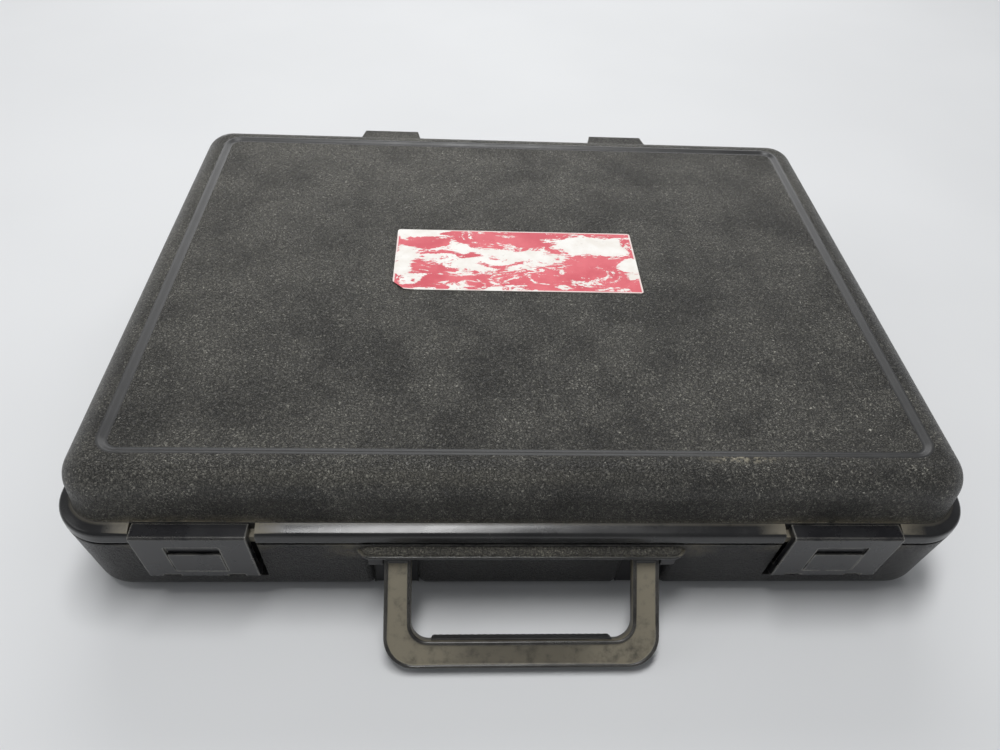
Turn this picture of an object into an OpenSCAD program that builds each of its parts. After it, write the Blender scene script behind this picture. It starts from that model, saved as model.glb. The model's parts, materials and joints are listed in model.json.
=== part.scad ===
// Hard plastic carrying case for a handheld test instrument.
// X runs along the width, Y from the handle side to the hinge side, Z up.
// The origin is the centre of the base's flat bottom.

/* [Case] */
// Width of the closed case, across the lid's rim
case_w = 456; // [380:1:548]
// Depth of the closed case, across the lid's rim
case_d = 351; // [300:1:422]
// Height of the base, from its flat bottom to the parting line
base_h = 51; // [46:1:62]
// Height of the lid above the parting line
lid_h = 40; // [34:1:48]
// Wall thickness of both shells
wall = 3; // [2.5:0.1:3.6]
// Plan radius of the rim's corners
rim_r = 27; // [22:1:34]
// Height of the smooth rim round the lid
rim_h = 10; // [9.5:0.5:12]
// How far the rim stands out from the lid's wall
rim_ledge = 6.4; // [5.4:0.1:7.6]
// Angle at which the rim's top face falls away from the lid's wall
rim_slope = 18; // [8:1:22]
// Gap between the two shells at the parting line
parting_gap = 0.2; // [0.1:0.05:0.4]

/* [Shell shape] */
// Radius of the lid's rounded top edge
lid_round = 16; // [12:1:18]
// Draft of the lid's wall
lid_draft = 1; // [0.5:0.5:2]
// Angle at which the base's wall leans in towards the bottom
base_draft_angle = 7; // [3:0.5:8]
// Radius of the base's rounded bottom edge
base_round = 14; // [10:1:16]
// Width of the border round the sunk panel on top
panel_border = 24.8; // [22:0.2:30]
// Depth of the sunk panel on top
panel_depth = 1.5; // [1:0.1:2]
// Width of the ramp round the sunk panel
panel_ramp = 3; // [2:0.5:5]

/* [Label] */
// Width of the label
label_w = 150; // [120:1:180]
// Depth of the label
label_d = 62; // [45:1:72]
// Thickness of the label
label_t = 0.3; // [0.2:0.05:0.5]

/* [Hinges] */
// Distance of each hinge from the middle of the case
hinge_x = 86; // [70:1:105]
// Width of the hinge pads where they leave the shells
pad_root_w = 47.5; // [44:0.5:57]
// Width of the hinge pads at their flat outer faces
pad_face_w = 37.5; // [34:0.5:40]
// How far the hinge pads stand out past the rim
pad_out = 4.5; // [4.2:0.1:6]
// Radius of the hinge knuckles
knuckle_r = 4; // [3.6:0.1:4.1]
// Radius of the hinge pins
hinge_pin_r = 1.5; // [1.2:0.1:1.8]
// Angle at which the hinge pads meet and stop the lid
lid_open_angle = 110; // [95:1:125]

/* [Latches] */
// Distance from the side of the case to the middle of each latch
latch_side = 68; // [62:1:80]
// Width of each latch
latch_w = 55; // [46:1:62]
// Thickness of the latch's plate
latch_t = 4; // [3.6:0.1:4.4]
// How far the latch's front stands out past the rim at its top
latch_out = 3.4; // [2.5:0.1:4.5]
// Height of the latch's lower edge above the bottom
latch_low = 19; // [16:0.5:21]
// Thickness of the lip that hooks over the rim
lip_t = 4.8; // [4:0.1:5]
// Radius of the latch pins
latch_pin_r = 1.3; // [1.1:0.1:1.5]
// Width of the window that the lock slide moves in
window_w = 26; // [22:0.5:31]
// Travel of the lock slide
slide_travel = 5; // [4:0.5:6]

/* [Handle] */
// Width of the handle
handle_w = 137; // [120:1:164]
// Reach of the handle, from its pins to the outer edge of the grip
handle_reach = 54.3; // [46:0.1:65]
// Width of the handle's arms and grip
handle_bar = 13.3; // [11:0.1:15]
// Thickness of the handle
handle_t = 8; // [7:0.1:9]
// Radius of the handle pins
handle_pin_r = 2; // [1.6:0.1:2.4]
// Depth of the shelf over the handle below the parting line
shelf_drop = 1.4; // [0.6:0.1:3]
// Thickness of that shelf
shelf_t = 4.9; // [4:0.1:5.8]
// How far the shelf stands out past the rim
shelf_out = 4.5; // [3.8:0.1:6]

/* [Foam] */
// Width of the pocket for the instrument
pocket_w = 182; // [150:1:200]
// Foam left between the pockets and the block's sides
foam_wall = 28; // [20:1:34]
// Foam between one pocket and the next
pocket_web = 26; // [16:1:34]
// Thickness of the pad on the floor of the base
floor_pad_t = 6; // [4:1:8]
// Thickness of the foam in the lid
lid_foam_t = 20; // [15:1:22]

/* [Clearances] */
// Radial clearance of every pin in its bore
pin_fit = 0.05; // [0.02:0.01:0.08]
// Gap between parts that move past each other
gap = 0.4; // [0.3:0.05:0.5]
// Gap between foam and the walls round it
foam_gap = 0.5; // [0.3:0.1:1]

/* [Hidden] */

left = -1;
right = 1;
hull_fn = 32;
round_fn = 64;
arc_steps = 7;
least_turn = 2;                             // least radius at the inner end of a rounded edge
over = 1;                                   // how far a cut runs past the face it opens
buried = 0.5;                               // how far a joined piece runs into its neighbour
corner_x = case_w / 2 - rim_r;
corner_y = case_d / 2 - rim_r;
front = -case_d / 2;
back = case_d / 2;
top = base_h + lid_h;

// Lid
lid_low = base_h + parting_gap / 2;
rim_top = base_h + rim_h;
rim_round = 2.5;
cavity_inset = rim_ledge + wall;
cavity_top = top - panel_depth - wall;
panel_w = case_w - 2 * panel_border;
panel_d = case_d - 2 * panel_border;
panel_r = 10;
panel_z = top - panel_depth;
label_x = 2.2;
label_y = 7.2;
label_r = 2;
label_margin = 2.5;
label_front_margin = 4.5;

// Base
base_top = base_h - parting_gap / 2;
base_inset = 0.3;
floor_round = base_round - wall;
ledge_h = 4;
lip_h = 3;
lip_w = 1.6;
lip_inset = cavity_inset - lip_w - 0.7;     // from the rim's face to the lip's outer side

// Hinges
axis_y = back;
axis_z = base_h;
pad_face = back + pad_out;
pad_start = pad_out * tan(lid_open_angle / 2);
pad_low = 6;
pad_bevel = 4;
pad_depth = 16;                             // how deep the pads run into the shells
lid_pad_top = top - 5;
lid_knuckle_l = 12;
base_knuckle_l = 12;
hinge_l = lid_knuckle_l + 2 * (base_knuckle_l + gap);

// Latches
latch_x = case_w / 2 - latch_side;
latch_lean = base_draft_angle;
latch_axis_r = latch_t + 0.4;
latch_axis_z = latch_low + latch_axis_r;
latch_axis_y = front - latch_out + (rim_top - latch_axis_z) * tan(latch_lean)
             + latch_axis_r / cos(latch_lean);
latch_face = latch_axis_y - latch_axis_r;   // before it leans
latch_back = latch_face + latch_t;
lug_r = latch_axis_r - 1.4;
lug_w = 8;
lug_x = 16;
hook_depth = rim_ledge - 0.5;               // lip's reach in from the rim's face
hook_y = front + hook_depth;
hook_low = rim_top - lip_t;
hook_bevel = 1;
bay_clear = 0.4;
bay_y = latch_axis_y + latch_axis_r + bay_clear;
bay_low = latch_low - 1.5;
bay_outer_gap = 1.2;
bay_inner_gap = 3;
window_low = latch_axis_z + 4.4;
window_top = hook_low - 3.4;
window_depth = latch_t / 2;
slide_gap = 0.3;
slide_spare = 1.6;
slide_h = window_top - window_low - slide_travel - 2 * slide_gap - slide_spare;
slide_w = window_w - 2 * slide_gap;
slide_low = window_low + slide_gap;
stem_w = 9;
stem_h = 5;
stem_low = slide_low + slide_travel + (slide_h - 2 * slide_travel - stem_h) / 2;
slide_proud = 0.2;
keeper_t = 1.4;
keeper_w = 16;
keeper_low = latch_axis_z + latch_axis_r + 2;
keeper_top = base_h - slide_travel - 2 * gap;
keeper_y = latch_back + 0.15;
tongue_w = 12;
tongue_t = 1.1;
tongue_y = keeper_y + keeper_t + 0.1;
tongue_root = keeper_low + 3;
tongue_root_h = 5;
tongue_top = base_h + 3.4 - slide_travel;
slot_top = tongue_top + slide_travel + gap;

// Handle
shelf_low = base_h - shelf_drop - shelf_t;
shelf_front = front - shelf_out;
channel_w = handle_w + 15;
channel_y = front + 9.5;
shelf_w = handle_w + 27;
shelf_d = channel_y + wall - shelf_front;
shelf_r = min(8, shelf_d / 2 - 0.1);
island_w = handle_w - 2 * handle_bar - 4.5;
handle_axis_y = front + 1.2;
handle_boss_step = 0.3;
handle_boss_r = handle_t / 2 + handle_boss_step;
handle_axis_z = shelf_low - handle_boss_r - gap;
handle_r_out = 15;
handle_r_in = 9;
reach_r = norm([handle_reach, handle_t / 2]);
droop = asin(handle_axis_z / reach_r) - atan(handle_t / 2 / handle_reach);
groove_rim = 3;
groove_depth = 1;
grip_w = handle_w - 2 * handle_bar - 20;
grip_t = 2.4;
grip_out = 0.9;
grip_back = 7;
handle_pin_l = 18;
handle_pin_x = (channel_w - handle_pin_l - 1) / 2;
ear_r = 4.2;
ear_gap = 0.6;

// Foam
foam_low = wall + floor_pad_t;
foam_top = base_h - 1;
foam_inset = base_inset + wall + (base_h - foam_low) * tan(base_draft_angle)
           + edge_inset(floor_round, floor_pad_t) + foam_gap;
foam_w = case_w - 2 * foam_inset;
foam_d = case_d - 2 * foam_inset;
foam_front = max(channel_y, bay_y) + wall + foam_gap;
floor_inset = base_inset + wall + (base_h - wall) * tan(base_draft_angle) + floor_round;
pocket_l = foam_d - 2 * foam_wall;
pocket_left = foam_wall - foam_w / 2;
pocket_right = pocket_left + pocket_w;
small_pocket_left = pocket_right + pocket_web;
small_pocket_right = foam_w / 2 - foam_wall;
scallop_r = 20;

// How far a quarter-round edge of radius e is still set in at height h above its start
function edge_inset(e, h) = h >= e ? 0 : e - sqrt(e * e - (e - h) * (e - h));

// Y of a line that leans with the latches, d behind their axis, at height z
function lean_y(d, z) = latch_axis_y + d / cos(latch_lean) - (z - latch_axis_z) * tan(latch_lean);

function arc(x, z, r, from, to) =
    [for (i = [0:arc_steps]) let (a = from + (to - from) * i / arc_steps) [x + r * cos(a), z + r * sin(a)]];

// Half section of the lid's domed part at one corner, set in from the rim's face
function dome_section(inset, low, high, edge) =
    let (r = rim_r - inset, e = min(edge, r - lid_draft - least_turn))
    concat([[0, low], [r, low]], arc(r - lid_draft - e, high - e, e, 0, 90), [[0, high]]);

// Half section of the base's leaning wall at one corner
function tub_section(inset, low, high, edge) =
    let (a = base_draft_angle, r = rim_r - inset,
         run = high - low - edge * (1 - sin(a)),
         x = r - run * tan(a) - edge * cos(a))
    concat([[0, low]], arc(x, low + edge, edge, -90, -a), [[r, high], [0, high]]);

// Half section of the rim at one corner, with a sloping top that ends at the lid's wall
function rim_section(low, high) =
    let (mid = high - rim_round * cos(rim_slope)
             - (rim_ledge - rim_round + rim_round * sin(rim_slope)) * tan(rim_slope))
    concat([[0, low]], arc(rim_r - rim_round, low + rim_round, rim_round, -90, 0),
           arc(rim_r - rim_round, mid, rim_round, 0, 90 - rim_slope),
           [[rim_r - rim_ledge, high], [0, high]]);

module turned_corners(section)
    hull() for (sx = [-1, 1], sy = [-1, 1])
        translate([sx * corner_x, sy * corner_y, 0]) rotate_extrude($fn = hull_fn) polygon(section);

// Flat outline with round corners, centred
module rounded(w, d, r) {
    square([w - 2 * r, d], center = true);
    square([w, d - 2 * r], center = true);
    for (sx = [-1, 1], sy = [-1, 1])
        translate([sx * (w / 2 - r), sy * (d / 2 - r)]) circle(r, $fn = round_fn);
}

// Rounded plate that follows the rim's outline, set in by inset, from low to high
module inset_plate(inset, low, high)
    translate([0, 0, low]) linear_extrude(high - low)
        rounded(case_w - 2 * inset, case_d - 2 * inset, rim_r - inset);

module block(x, y, z)
    translate([x[0], y[0], z[0]]) cube([x[1] - x[0], y[1] - y[0], z[1] - z[0]]);

// Cylinder along X, centred on x
module rod(x, y, z, r, l)
    translate([x, y, z]) rotate([0, 90, 0]) cylinder(r = r, h = l, center = true, $fn = round_fn);

// Pad that narrows towards its flat outer face, with its outer edges bevelled
module hinge_pad(x, root, low, high, bevel_low, bevel_high)
    intersection() {
        translate([x, 0, low]) linear_extrude(high - low) polygon([
            [-pad_root_w / 2, root], [pad_root_w / 2, root],
            [pad_face_w / 2, pad_face], [-pad_face_w / 2, pad_face]]);
        translate([x - pad_root_w, 0, 0]) rotate([90, 0, 90]) linear_extrude(2 * pad_root_w) polygon([
            [root, low], [pad_face - bevel_low, low], [pad_face, low + bevel_low],
            [pad_face, high - 2 * bevel_high], [pad_face - bevel_high, high], [root, high]]);
    }

module base_knuckles(x, r, extra)
    for (s = [-1, 1])
        rod(x + s * (lid_knuckle_l + base_knuckle_l + 2 * gap) / 2, axis_y, axis_z, r,
            base_knuckle_l + extra);

module lid_knuckle(x, r, extra) rod(x, axis_y, axis_z, r, lid_knuckle_l + extra);

// Left and right ends of the room for a latch
function bay(side) =
    let (inner = latch_w / 2 + bay_inner_gap, outer = latch_w / 2 + bay_outer_gap, x = side * latch_x)
    side > 0 ? [x - inner, x + outer] : [x - outer, x + inner];
function widen(x, by) = [x[0] - by, x[1] + by];

// Leans a shape about the latches' axis, as far as the base's wall
module leaned()
    translate([0, latch_axis_y, latch_axis_z]) rotate([latch_lean, 0, 0])
        translate([0, -latch_axis_y, -latch_axis_z]) children();

module base_outer() turned_corners(tub_section(base_inset, 0, base_top, base_round));

module base_shell() color("#202022") { base_body(); base_ears(); }

module base_body()
    difference() {
        union() {
            difference() {
                union() {
                    base_outer();
                    for (side = [left, right])
                        hinge_pad(side * hinge_x, back - pad_depth, pad_low, axis_z - pad_start,
                                  pad_bevel, 0);
                }
                turned_corners(tub_section(base_inset + wall, wall, base_h + over, floor_round));
            }
            // Thicker front behind the handle and the latches
            intersection() {
                base_outer();
                union() {
                    block(widen([-channel_w / 2, channel_w / 2], wall), [front - over, channel_y + wall],
                          [0, base_top]);
                    for (side = [left, right])
                        block(widen(bay(side), wall), [front - over, bay_y + wall], [0, base_top]);
                }
            }
            // Ledge and lip round the top, which line the lid up
            difference() {
                union() {
                    inset_plate(base_inset + wall / 2, base_top - ledge_h, base_top);
                    inset_plate(lip_inset, base_top - ledge_h, base_top + lip_h);
                }
                inset_plate(lip_inset + lip_w, base_top - ledge_h - over, base_top + lip_h + over);
            }
            // Shelf over the handle
            translate([0, shelf_front + shelf_d / 2, shelf_low]) linear_extrude(shelf_t)
                rounded(shelf_w, shelf_d, shelf_r);
            for (side = [left, right]) base_knuckles(side * hinge_x, knuckle_r, 0);
        }
        // U-shaped channel for the folded handle, and the hollow behind its middle
        for (side = [-1, 1])
            block(side > 0 ? [island_w / 2, channel_w / 2] : [-channel_w / 2, -island_w / 2],
                  [shelf_front - over, channel_y], [-over, shelf_low]);
        block([wall - island_w / 2, island_w / 2 - wall], [front + 2 * wall, channel_y + wall + over],
              [base_round, shelf_low - wall]);
        for (side = [left, right]) {
            block(bay(side), [shelf_front - over, bay_y], [bay_low, base_h + over]);
            lid_knuckle(side * hinge_x, knuckle_r + gap, 2 * gap);
            rod(side * hinge_x, axis_y, axis_z, hinge_pin_r + pin_fit, hinge_l + 2 * over);
        }
    }

// Ears under the shelf and lugs in the latch bays, with their bores
module base_ears()
    difference() {
        union() {
            for (side = [left, right]) {
                ear_x = side * (handle_w / 2 + channel_w / 2 + ear_gap) / 2;
                ear_l = (channel_w - handle_w) / 2 - ear_gap + buried;
                rod(ear_x, handle_axis_y, handle_axis_z, ear_r, ear_l);
                block([ear_x - ear_l / 2, ear_x + ear_l / 2], [handle_axis_y - ear_r, channel_y + buried],
                      [handle_axis_z, shelf_low + buried]);
                block([ear_x - ear_l / 2, ear_x + ear_l / 2], [handle_axis_y, channel_y + buried],
                      [handle_axis_z - ear_r, handle_axis_z + buried]);
                for (s = [-1, 1]) {
                    x = side * latch_x + s * lug_x;
                    rod(x, latch_axis_y, latch_axis_z, lug_r, lug_w);
                    block([x - lug_w / 2, x + lug_w / 2], [latch_axis_y, bay_y + buried],
                          [latch_axis_z - lug_r, latch_axis_z + lug_r]);
                }
            }
        }
        for (side = [left, right]) {
            rod(side * channel_w / 2, handle_axis_y, handle_axis_z, handle_pin_r + pin_fit,
                channel_w - handle_w);
            rod(side * latch_x, latch_axis_y, latch_axis_z, latch_pin_r + pin_fit, latch_w);
        }
    }

module lid_shell()
    color("#1c1c1e") difference() {
        union() {
            difference() {
                union() {
                    turned_corners(rim_section(lid_low, rim_top));
                    turned_corners(dome_section(rim_ledge, base_h + rim_round, top, lid_round));
                    for (side = [left, right])
                        hinge_pad(side * hinge_x, back - pad_depth, axis_z + pad_start, lid_pad_top,
                                  0, pad_bevel);
                }
                turned_corners(dome_section(cavity_inset, base_h - over, cavity_top, lid_round - wall));
                // Sunk panel with a ramp round it
                hull() {
                    translate([0, 0, top]) linear_extrude(over) rounded(panel_w, panel_d, panel_r);
                    translate([0, 0, panel_z]) linear_extrude(over)
                        rounded(panel_w - 2 * panel_ramp, panel_d - 2 * panel_ramp, panel_r - panel_ramp);
                }
                // Rebate over the base's lip
                inset_plate(lip_inset - gap, base_h - over, base_top + lip_h + gap);
            }
            for (side = [left, right]) lid_knuckle(side * hinge_x, knuckle_r, 0);
        }
        translate([label_x, label_y - (label_front_margin - label_margin) / 2, panel_z - label_t])
            linear_extrude(panel_depth + over)
                rounded(label_w + 2 * label_margin, label_d + label_margin + label_front_margin, label_r);
        for (side = [left, right]) {
            // Notch for the latch, and the slot for the lock's tongue
            leaned() {
                block(bay(side), [latch_face - over, latch_back + slide_gap], [lid_low - 2 * over, rim_top]);
                block(widen([side * latch_x, side * latch_x], tongue_w / 2 + slide_gap),
                      [tongue_y - slide_gap, tongue_y + tongue_t + slide_gap],
                      [lid_low - 2 * over, slot_top]);
            }
            block(bay(side), [front - latch_out - over, hook_y + slide_gap],
                  [hook_low - slide_gap, rim_top + over]);
            base_knuckles(side * hinge_x, knuckle_r + gap, 2 * gap);
            rod(side * hinge_x, axis_y, axis_z, hinge_pin_r + pin_fit, hinge_l + 2 * over);
        }
    }

module hinge_pin(side) color("#9a9a9c") rod(side * hinge_x, axis_y, axis_z, hinge_pin_r, hinge_l);

module latch(side)
    color("#1a1a1b") translate([side * latch_x, 0, 0]) difference() {
        union() {
            translate([-latch_w / 2, 0, 0]) rotate([90, 0, 90]) linear_extrude(latch_w) polygon([
                [latch_axis_y - latch_axis_r * cos(latch_lean),
                 latch_axis_z - latch_axis_r * sin(latch_lean)],
                [lean_y(-latch_axis_r, rim_top - hook_bevel), rim_top - hook_bevel],
                [lean_y(-latch_axis_r, rim_top) + hook_bevel, rim_top], [hook_y, rim_top], [hook_y, hook_low],
                [lean_y(latch_t - latch_axis_r, hook_low), hook_low],
                [lean_y(latch_t - latch_axis_r, latch_axis_z), latch_axis_z]]);
            rod(0, latch_axis_y, latch_axis_z, latch_axis_r, latch_w);
        }
        // Recess for the lock slide, and the slot that its stem runs in
        leaned() {
            block([-window_w / 2, window_w / 2], [latch_face - over, latch_face + window_depth],
                  [window_low, window_top]);
            block([-stem_w / 2 - slide_gap, stem_w / 2 + slide_gap], [latch_face, latch_back + over],
                  [stem_low - slide_gap, stem_low + stem_h + slide_travel + slide_gap]);
        }
        // Room for the base's lugs, from closed to open
        for (s = [-1, 1]) {
            x = widen([s * lug_x, s * lug_x], lug_w / 2 + gap);
            block(x, [latch_axis_y, bay_y + over], [latch_low - over, latch_axis_z + lug_r + gap]);
            block(x, [latch_face - 2 * over, bay_y], [latch_low - over, latch_axis_z]);
            rod(s * lug_x, latch_axis_y, latch_axis_z, lug_r + gap, lug_w + 2 * gap);
        }
        rod(0, latch_axis_y, latch_axis_z, latch_pin_r + pin_fit, latch_w + 2 * over);
    }

module latch_pin(side)
    color("#9a9a9c") rod(side * latch_x, latch_axis_y, latch_axis_z, latch_pin_r, latch_w - 2 * wall);

// Pad in the latch's window, with a stem through the latch
module lock_slide(side)
    color("#141415") translate([side * latch_x, 0, 0]) leaned() {
        block([-slide_w / 2, slide_w / 2], [latch_face - slide_proud, latch_face + window_depth - 0.1],
              [slide_low, slide_low + slide_h]);
        block([-stem_w / 2, stem_w / 2], [latch_face, keeper_y], [stem_low, stem_low + stem_h]);
    }

// Plate behind the latch that holds the slide in, with the tongue that locks into the rim
module lock_keeper(side)
    color("#2a2a2c") translate([side * latch_x, 0, 0]) leaned() {
        block([-keeper_w / 2, keeper_w / 2], [keeper_y, keeper_y + keeper_t], [keeper_low, keeper_top]);
        block([-tongue_w / 2, tongue_w / 2], [keeper_y, tongue_y + tongue_t],
              [tongue_root, tongue_root + tongue_root_h]);
        block([-tongue_w / 2, tongue_w / 2], [tongue_y, tongue_y + tongue_t], [tongue_root, tongue_top]);
    }

// Moves a shape drawn with the handle's reach along +Y and its top face up to the handle's resting place
module at_handle()
    translate([0, handle_axis_y, handle_axis_z]) rotate([droop, 0, 0]) rotate([0, 0, 180]) children();

// U-shaped outline of the handle, set in from every edge
module handle_outline(inset) {
    tall = 4 * handle_reach;
    difference() {
        translate([0, handle_reach - inset - tall / 2])
            rounded(handle_w - 2 * inset, tall, handle_r_out - inset);
        translate([0, handle_reach - handle_bar + inset - tall / 2])
            rounded(handle_w - 2 * handle_bar + 2 * inset, tall, handle_r_in + inset);
        translate([0, -tall / 2]) square([2 * handle_w, tall], center = true);
    }
}

module handle()
    color("#1b1b1c") difference() {
        union() {
            at_handle() translate([0, 0, -handle_t / 2]) linear_extrude(handle_t) handle_outline(0);
            for (side = [left, right])
                rod(side * (handle_w - handle_bar) / 2, handle_axis_y, handle_axis_z, handle_boss_r,
                    handle_bar - 2 * handle_boss_step);
        }
        at_handle() translate([0, 0, handle_t / 2 - groove_depth]) linear_extrude(groove_depth + over)
            difference() {
                handle_outline(groove_rim);
                square([handle_w, 2 * groove_rim], center = true);
            }
        rod(0, handle_axis_y, handle_axis_z, handle_pin_r + pin_fit, handle_w + 2 * over);
    }

// Soft pad under the grip, where the fingers close
module handle_grip()
    color("#161617") at_handle() difference() {
        block([-grip_w / 2, grip_w / 2],
              [handle_reach - handle_bar - grip_out, handle_reach - handle_bar + grip_back],
              [-handle_t / 2 - grip_t, handle_t / 4]);
        block([-grip_w, grip_w], [handle_reach - handle_bar, handle_reach], [-handle_t / 2, handle_t]);
    }

module handle_pin(side)
    color("#9a9a9c") rod(side * handle_pin_x, handle_axis_y, handle_axis_z, handle_pin_r, handle_pin_l);

// One of the strips round and between the pockets of the base's foam, from its plan
module base_foam_strip()
    color("#3a3b3d") translate([0, 0, foam_low]) linear_extrude(foam_top - foam_low) children();

// Strip in front of or behind the pockets, with a scallop that lets fingers under the instrument's end
module base_foam_end(end, from, to)
    base_foam_strip() difference() {
        intersection() {
            rounded(foam_w, foam_d, rim_r - foam_inset);
            translate([-foam_w / 2, from]) square([foam_w, to - from]);
        }
        translate([(pocket_left + pocket_right) / 2, end]) circle(scallop_r, $fn = round_fn);
    }

module base_foam_front() base_foam_end(-pocket_l / 2, foam_front, -pocket_l / 2);
module base_foam_back() base_foam_end(pocket_l / 2, pocket_l / 2, foam_d / 2);

// Strip between two X places, as long as the pockets or as long as given
module base_foam_bar(from, to, l = pocket_l)
    base_foam_strip() translate([from, -l / 2]) square([to - from, l]);

module base_foam_left() base_foam_bar(-foam_w / 2, pocket_left);
module base_foam_right() base_foam_bar(small_pocket_right, foam_w / 2);
module base_foam_web() base_foam_bar(pocket_right, small_pocket_left);
module base_foam_cross() base_foam_bar(small_pocket_left, small_pocket_right, pocket_web);

// Plain foam pad on the floor of the base
module floor_pad()
    color("#333436") inset_plate(floor_inset, wall, wall + floor_pad_t);

// Foam glued under the top of the lid
module lid_foam()
    color("#404144") turned_corners(
        dome_section(cavity_inset + lid_draft + foam_gap, cavity_top - lid_foam_t, cavity_top,
                     lid_round - wall));

module label()
    color("#d8d6d2") translate([label_x, label_y, panel_z - label_t]) linear_extrude(label_t)
        rounded(label_w, label_d, label_r);

base_shell();
lid_shell();
hinge_pin(left);  // hinge_pin_left
hinge_pin(right);  // hinge_pin_right
latch(left);  // latch_left
latch(right);  // latch_right
latch_pin(left);  // latch_pin_left
latch_pin(right);  // latch_pin_right
lock_slide(left);  // lock_slide_left
lock_slide(right);  // lock_slide_right
lock_keeper(left);  // lock_keeper_left
lock_keeper(right);  // lock_keeper_right
handle();
handle_grip();
handle_pin(left);  // handle_pin_left
handle_pin(right);  // handle_pin_right
base_foam_front();
base_foam_back();
base_foam_left();
base_foam_right();
base_foam_web();
base_foam_cross();
floor_pad();
lid_foam();
label();
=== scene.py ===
import json
import math

import bmesh
import bpy
import numpy as np
from mathutils import Matrix, Vector, noise


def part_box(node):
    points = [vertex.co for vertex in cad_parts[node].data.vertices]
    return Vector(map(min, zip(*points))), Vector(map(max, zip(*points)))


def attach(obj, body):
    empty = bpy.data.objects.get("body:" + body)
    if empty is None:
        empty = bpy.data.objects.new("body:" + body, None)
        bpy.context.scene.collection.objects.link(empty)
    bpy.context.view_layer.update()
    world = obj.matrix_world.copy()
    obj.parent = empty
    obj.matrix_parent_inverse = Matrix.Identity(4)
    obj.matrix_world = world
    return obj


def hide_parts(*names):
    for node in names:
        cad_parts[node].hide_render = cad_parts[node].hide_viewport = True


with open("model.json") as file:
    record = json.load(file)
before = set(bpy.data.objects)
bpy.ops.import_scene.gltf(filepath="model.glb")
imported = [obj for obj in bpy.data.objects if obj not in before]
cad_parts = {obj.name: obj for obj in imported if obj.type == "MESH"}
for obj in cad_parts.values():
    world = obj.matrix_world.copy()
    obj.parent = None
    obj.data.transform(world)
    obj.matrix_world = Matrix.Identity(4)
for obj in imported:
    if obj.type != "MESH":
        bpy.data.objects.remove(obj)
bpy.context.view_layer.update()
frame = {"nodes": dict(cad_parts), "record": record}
nodes = frame["nodes"]
joints = {j["name"]: j for j in frame["record"]["behaviour"]["joints"]}
scene = bpy.context.scene
scene.view_settings.view_transform = "Standard"

MM = 0.001


def node_box(name):
    """Lowest and highest corner of a CAD node, in mm."""
    low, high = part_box(name)
    return [v / MM for v in low], [v / MM for v in high]


def pivot(name):
    """A hinge's place, in mm."""
    return [v / MM for v in joints[name]["pos_m"]]


# ---------------------------------------------------------------- sizes, in mm, from the frame

lid_lo, lid_hi = node_box("lid_shell")
base_lo, base_hi = node_box("base_shell")
FOAM_STRIPS = [f"base_foam_{word}" for word in ("front", "back", "left", "right", "web", "cross")]
foam_boxes = [node_box(name) for name in FOAM_STRIPS]
foam_lo = [min(low[k] for low, _ in foam_boxes) for k in range(3)]
foam_hi = [max(high[k] for _, high in foam_boxes) for k in range(3)]
pad_lo, pad_hi = node_box("floor_pad")
lid_foam_lo, lid_foam_hi = node_box("lid_foam")
label_lo, label_hi = node_box("label")
latch_lo, latch_hi = node_box("latch_right")
slide_lo, slide_hi = node_box("lock_slide_right")
grip_lo, grip_hi = node_box("handle_grip")
handle_lo, handle_hi = node_box("handle")
lid_pin_lo, lid_pin_hi = node_box("hinge_pin_right")

HINGE = pivot("lid_hinge")
LATCH = pivot("latch_right_hinge")
HANDLE = pivot("handle_hinge")

HALF_W = lid_hi[0]
HALF_D = HINGE[1]
PART_Z = HINGE[2]
TOP_Z = lid_hi[2]
RIM_R = 27
RIM_TOP = latch_hi[2]
GAP = 0.1
RIM_ROUND = 2.5
WALL = 3
LEDGE = 6.4
PANEL_Z = label_hi[2]
LID_ROUND = 16
DRAFT = 1
PAD_FACE = base_hi[1]
HINGE_X = (lid_pin_lo[0] + lid_pin_hi[0]) / 2
LATCH_X = (latch_lo[0] + latch_hi[0]) / 2
SIDES = ((-1, "left"), (1, "right"))
LEAN = math.radians(7)
LATCH_R = 4.4
LATCH_FACE = LATCH[1] - LATCH_R
LATCH_BACK = LATCH_FACE + 4
HOOK_Y = -HALF_D + 5.9
HOOK_LOW = RIM_TOP - 4.8
BAY_Y = LATCH[1] + LATCH_R + 0.4
LABEL_X = (label_lo[0] + label_hi[0]) / 2
LABEL_Y = (label_lo[1] + label_hi[1]) / 2
leaned = Matrix.Translation(Vector((0, LATCH[1], LATCH[2])) * MM) @ Matrix.Rotation(LEAN, 4, "X") @ \
    Matrix.Translation(Vector((0, -LATCH[1], -LATCH[2])) * MM)


def lean_y(d, z):
    """Y at height z of a line that leans with the latches, d behind their axis."""
    return LATCH[1] + d / math.cos(LEAN) - (z - LATCH[2]) * math.tan(LEAN)


def lean(obj):
    obj.data.transform(leaned)
    return obj


# ---------------------------------------------------------------- mesh helpers

CORNER = 14
SIDE = 28


def ring(inset, z, r=None, half=None, mid=(0, 0)):
    """Rounded rectangle at height z, set in from the rim's face, as a list of points."""
    hx, hy = half or (HALF_W - inset, HALF_D - inset)
    r = max(RIM_R - inset, 1.5) if r is None else r
    points = []
    for sx, sy, start in ((1, -1, -90), (1, 1, 0), (-1, 1, 90), (-1, -1, 180)):
        cx, cy = mid[0] + sx * (hx - r), mid[1] + sy * (hy - r)
        for i in range(CORNER + 1):
            a = math.radians(start + 90 * i / CORNER)
            points.append((cx + r * math.cos(a), cy + r * math.sin(a), z))
    full = []
    for i, p in enumerate(points):
        full.append(p)
        if i % (CORNER + 1) == CORNER:
            q = points[(i + 1) % len(points)]
            full += [tuple(p[k] + (q[k] - p[k]) * s / SIDE for k in range(3)) for s in range(1, SIDE)]
    return full


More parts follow.
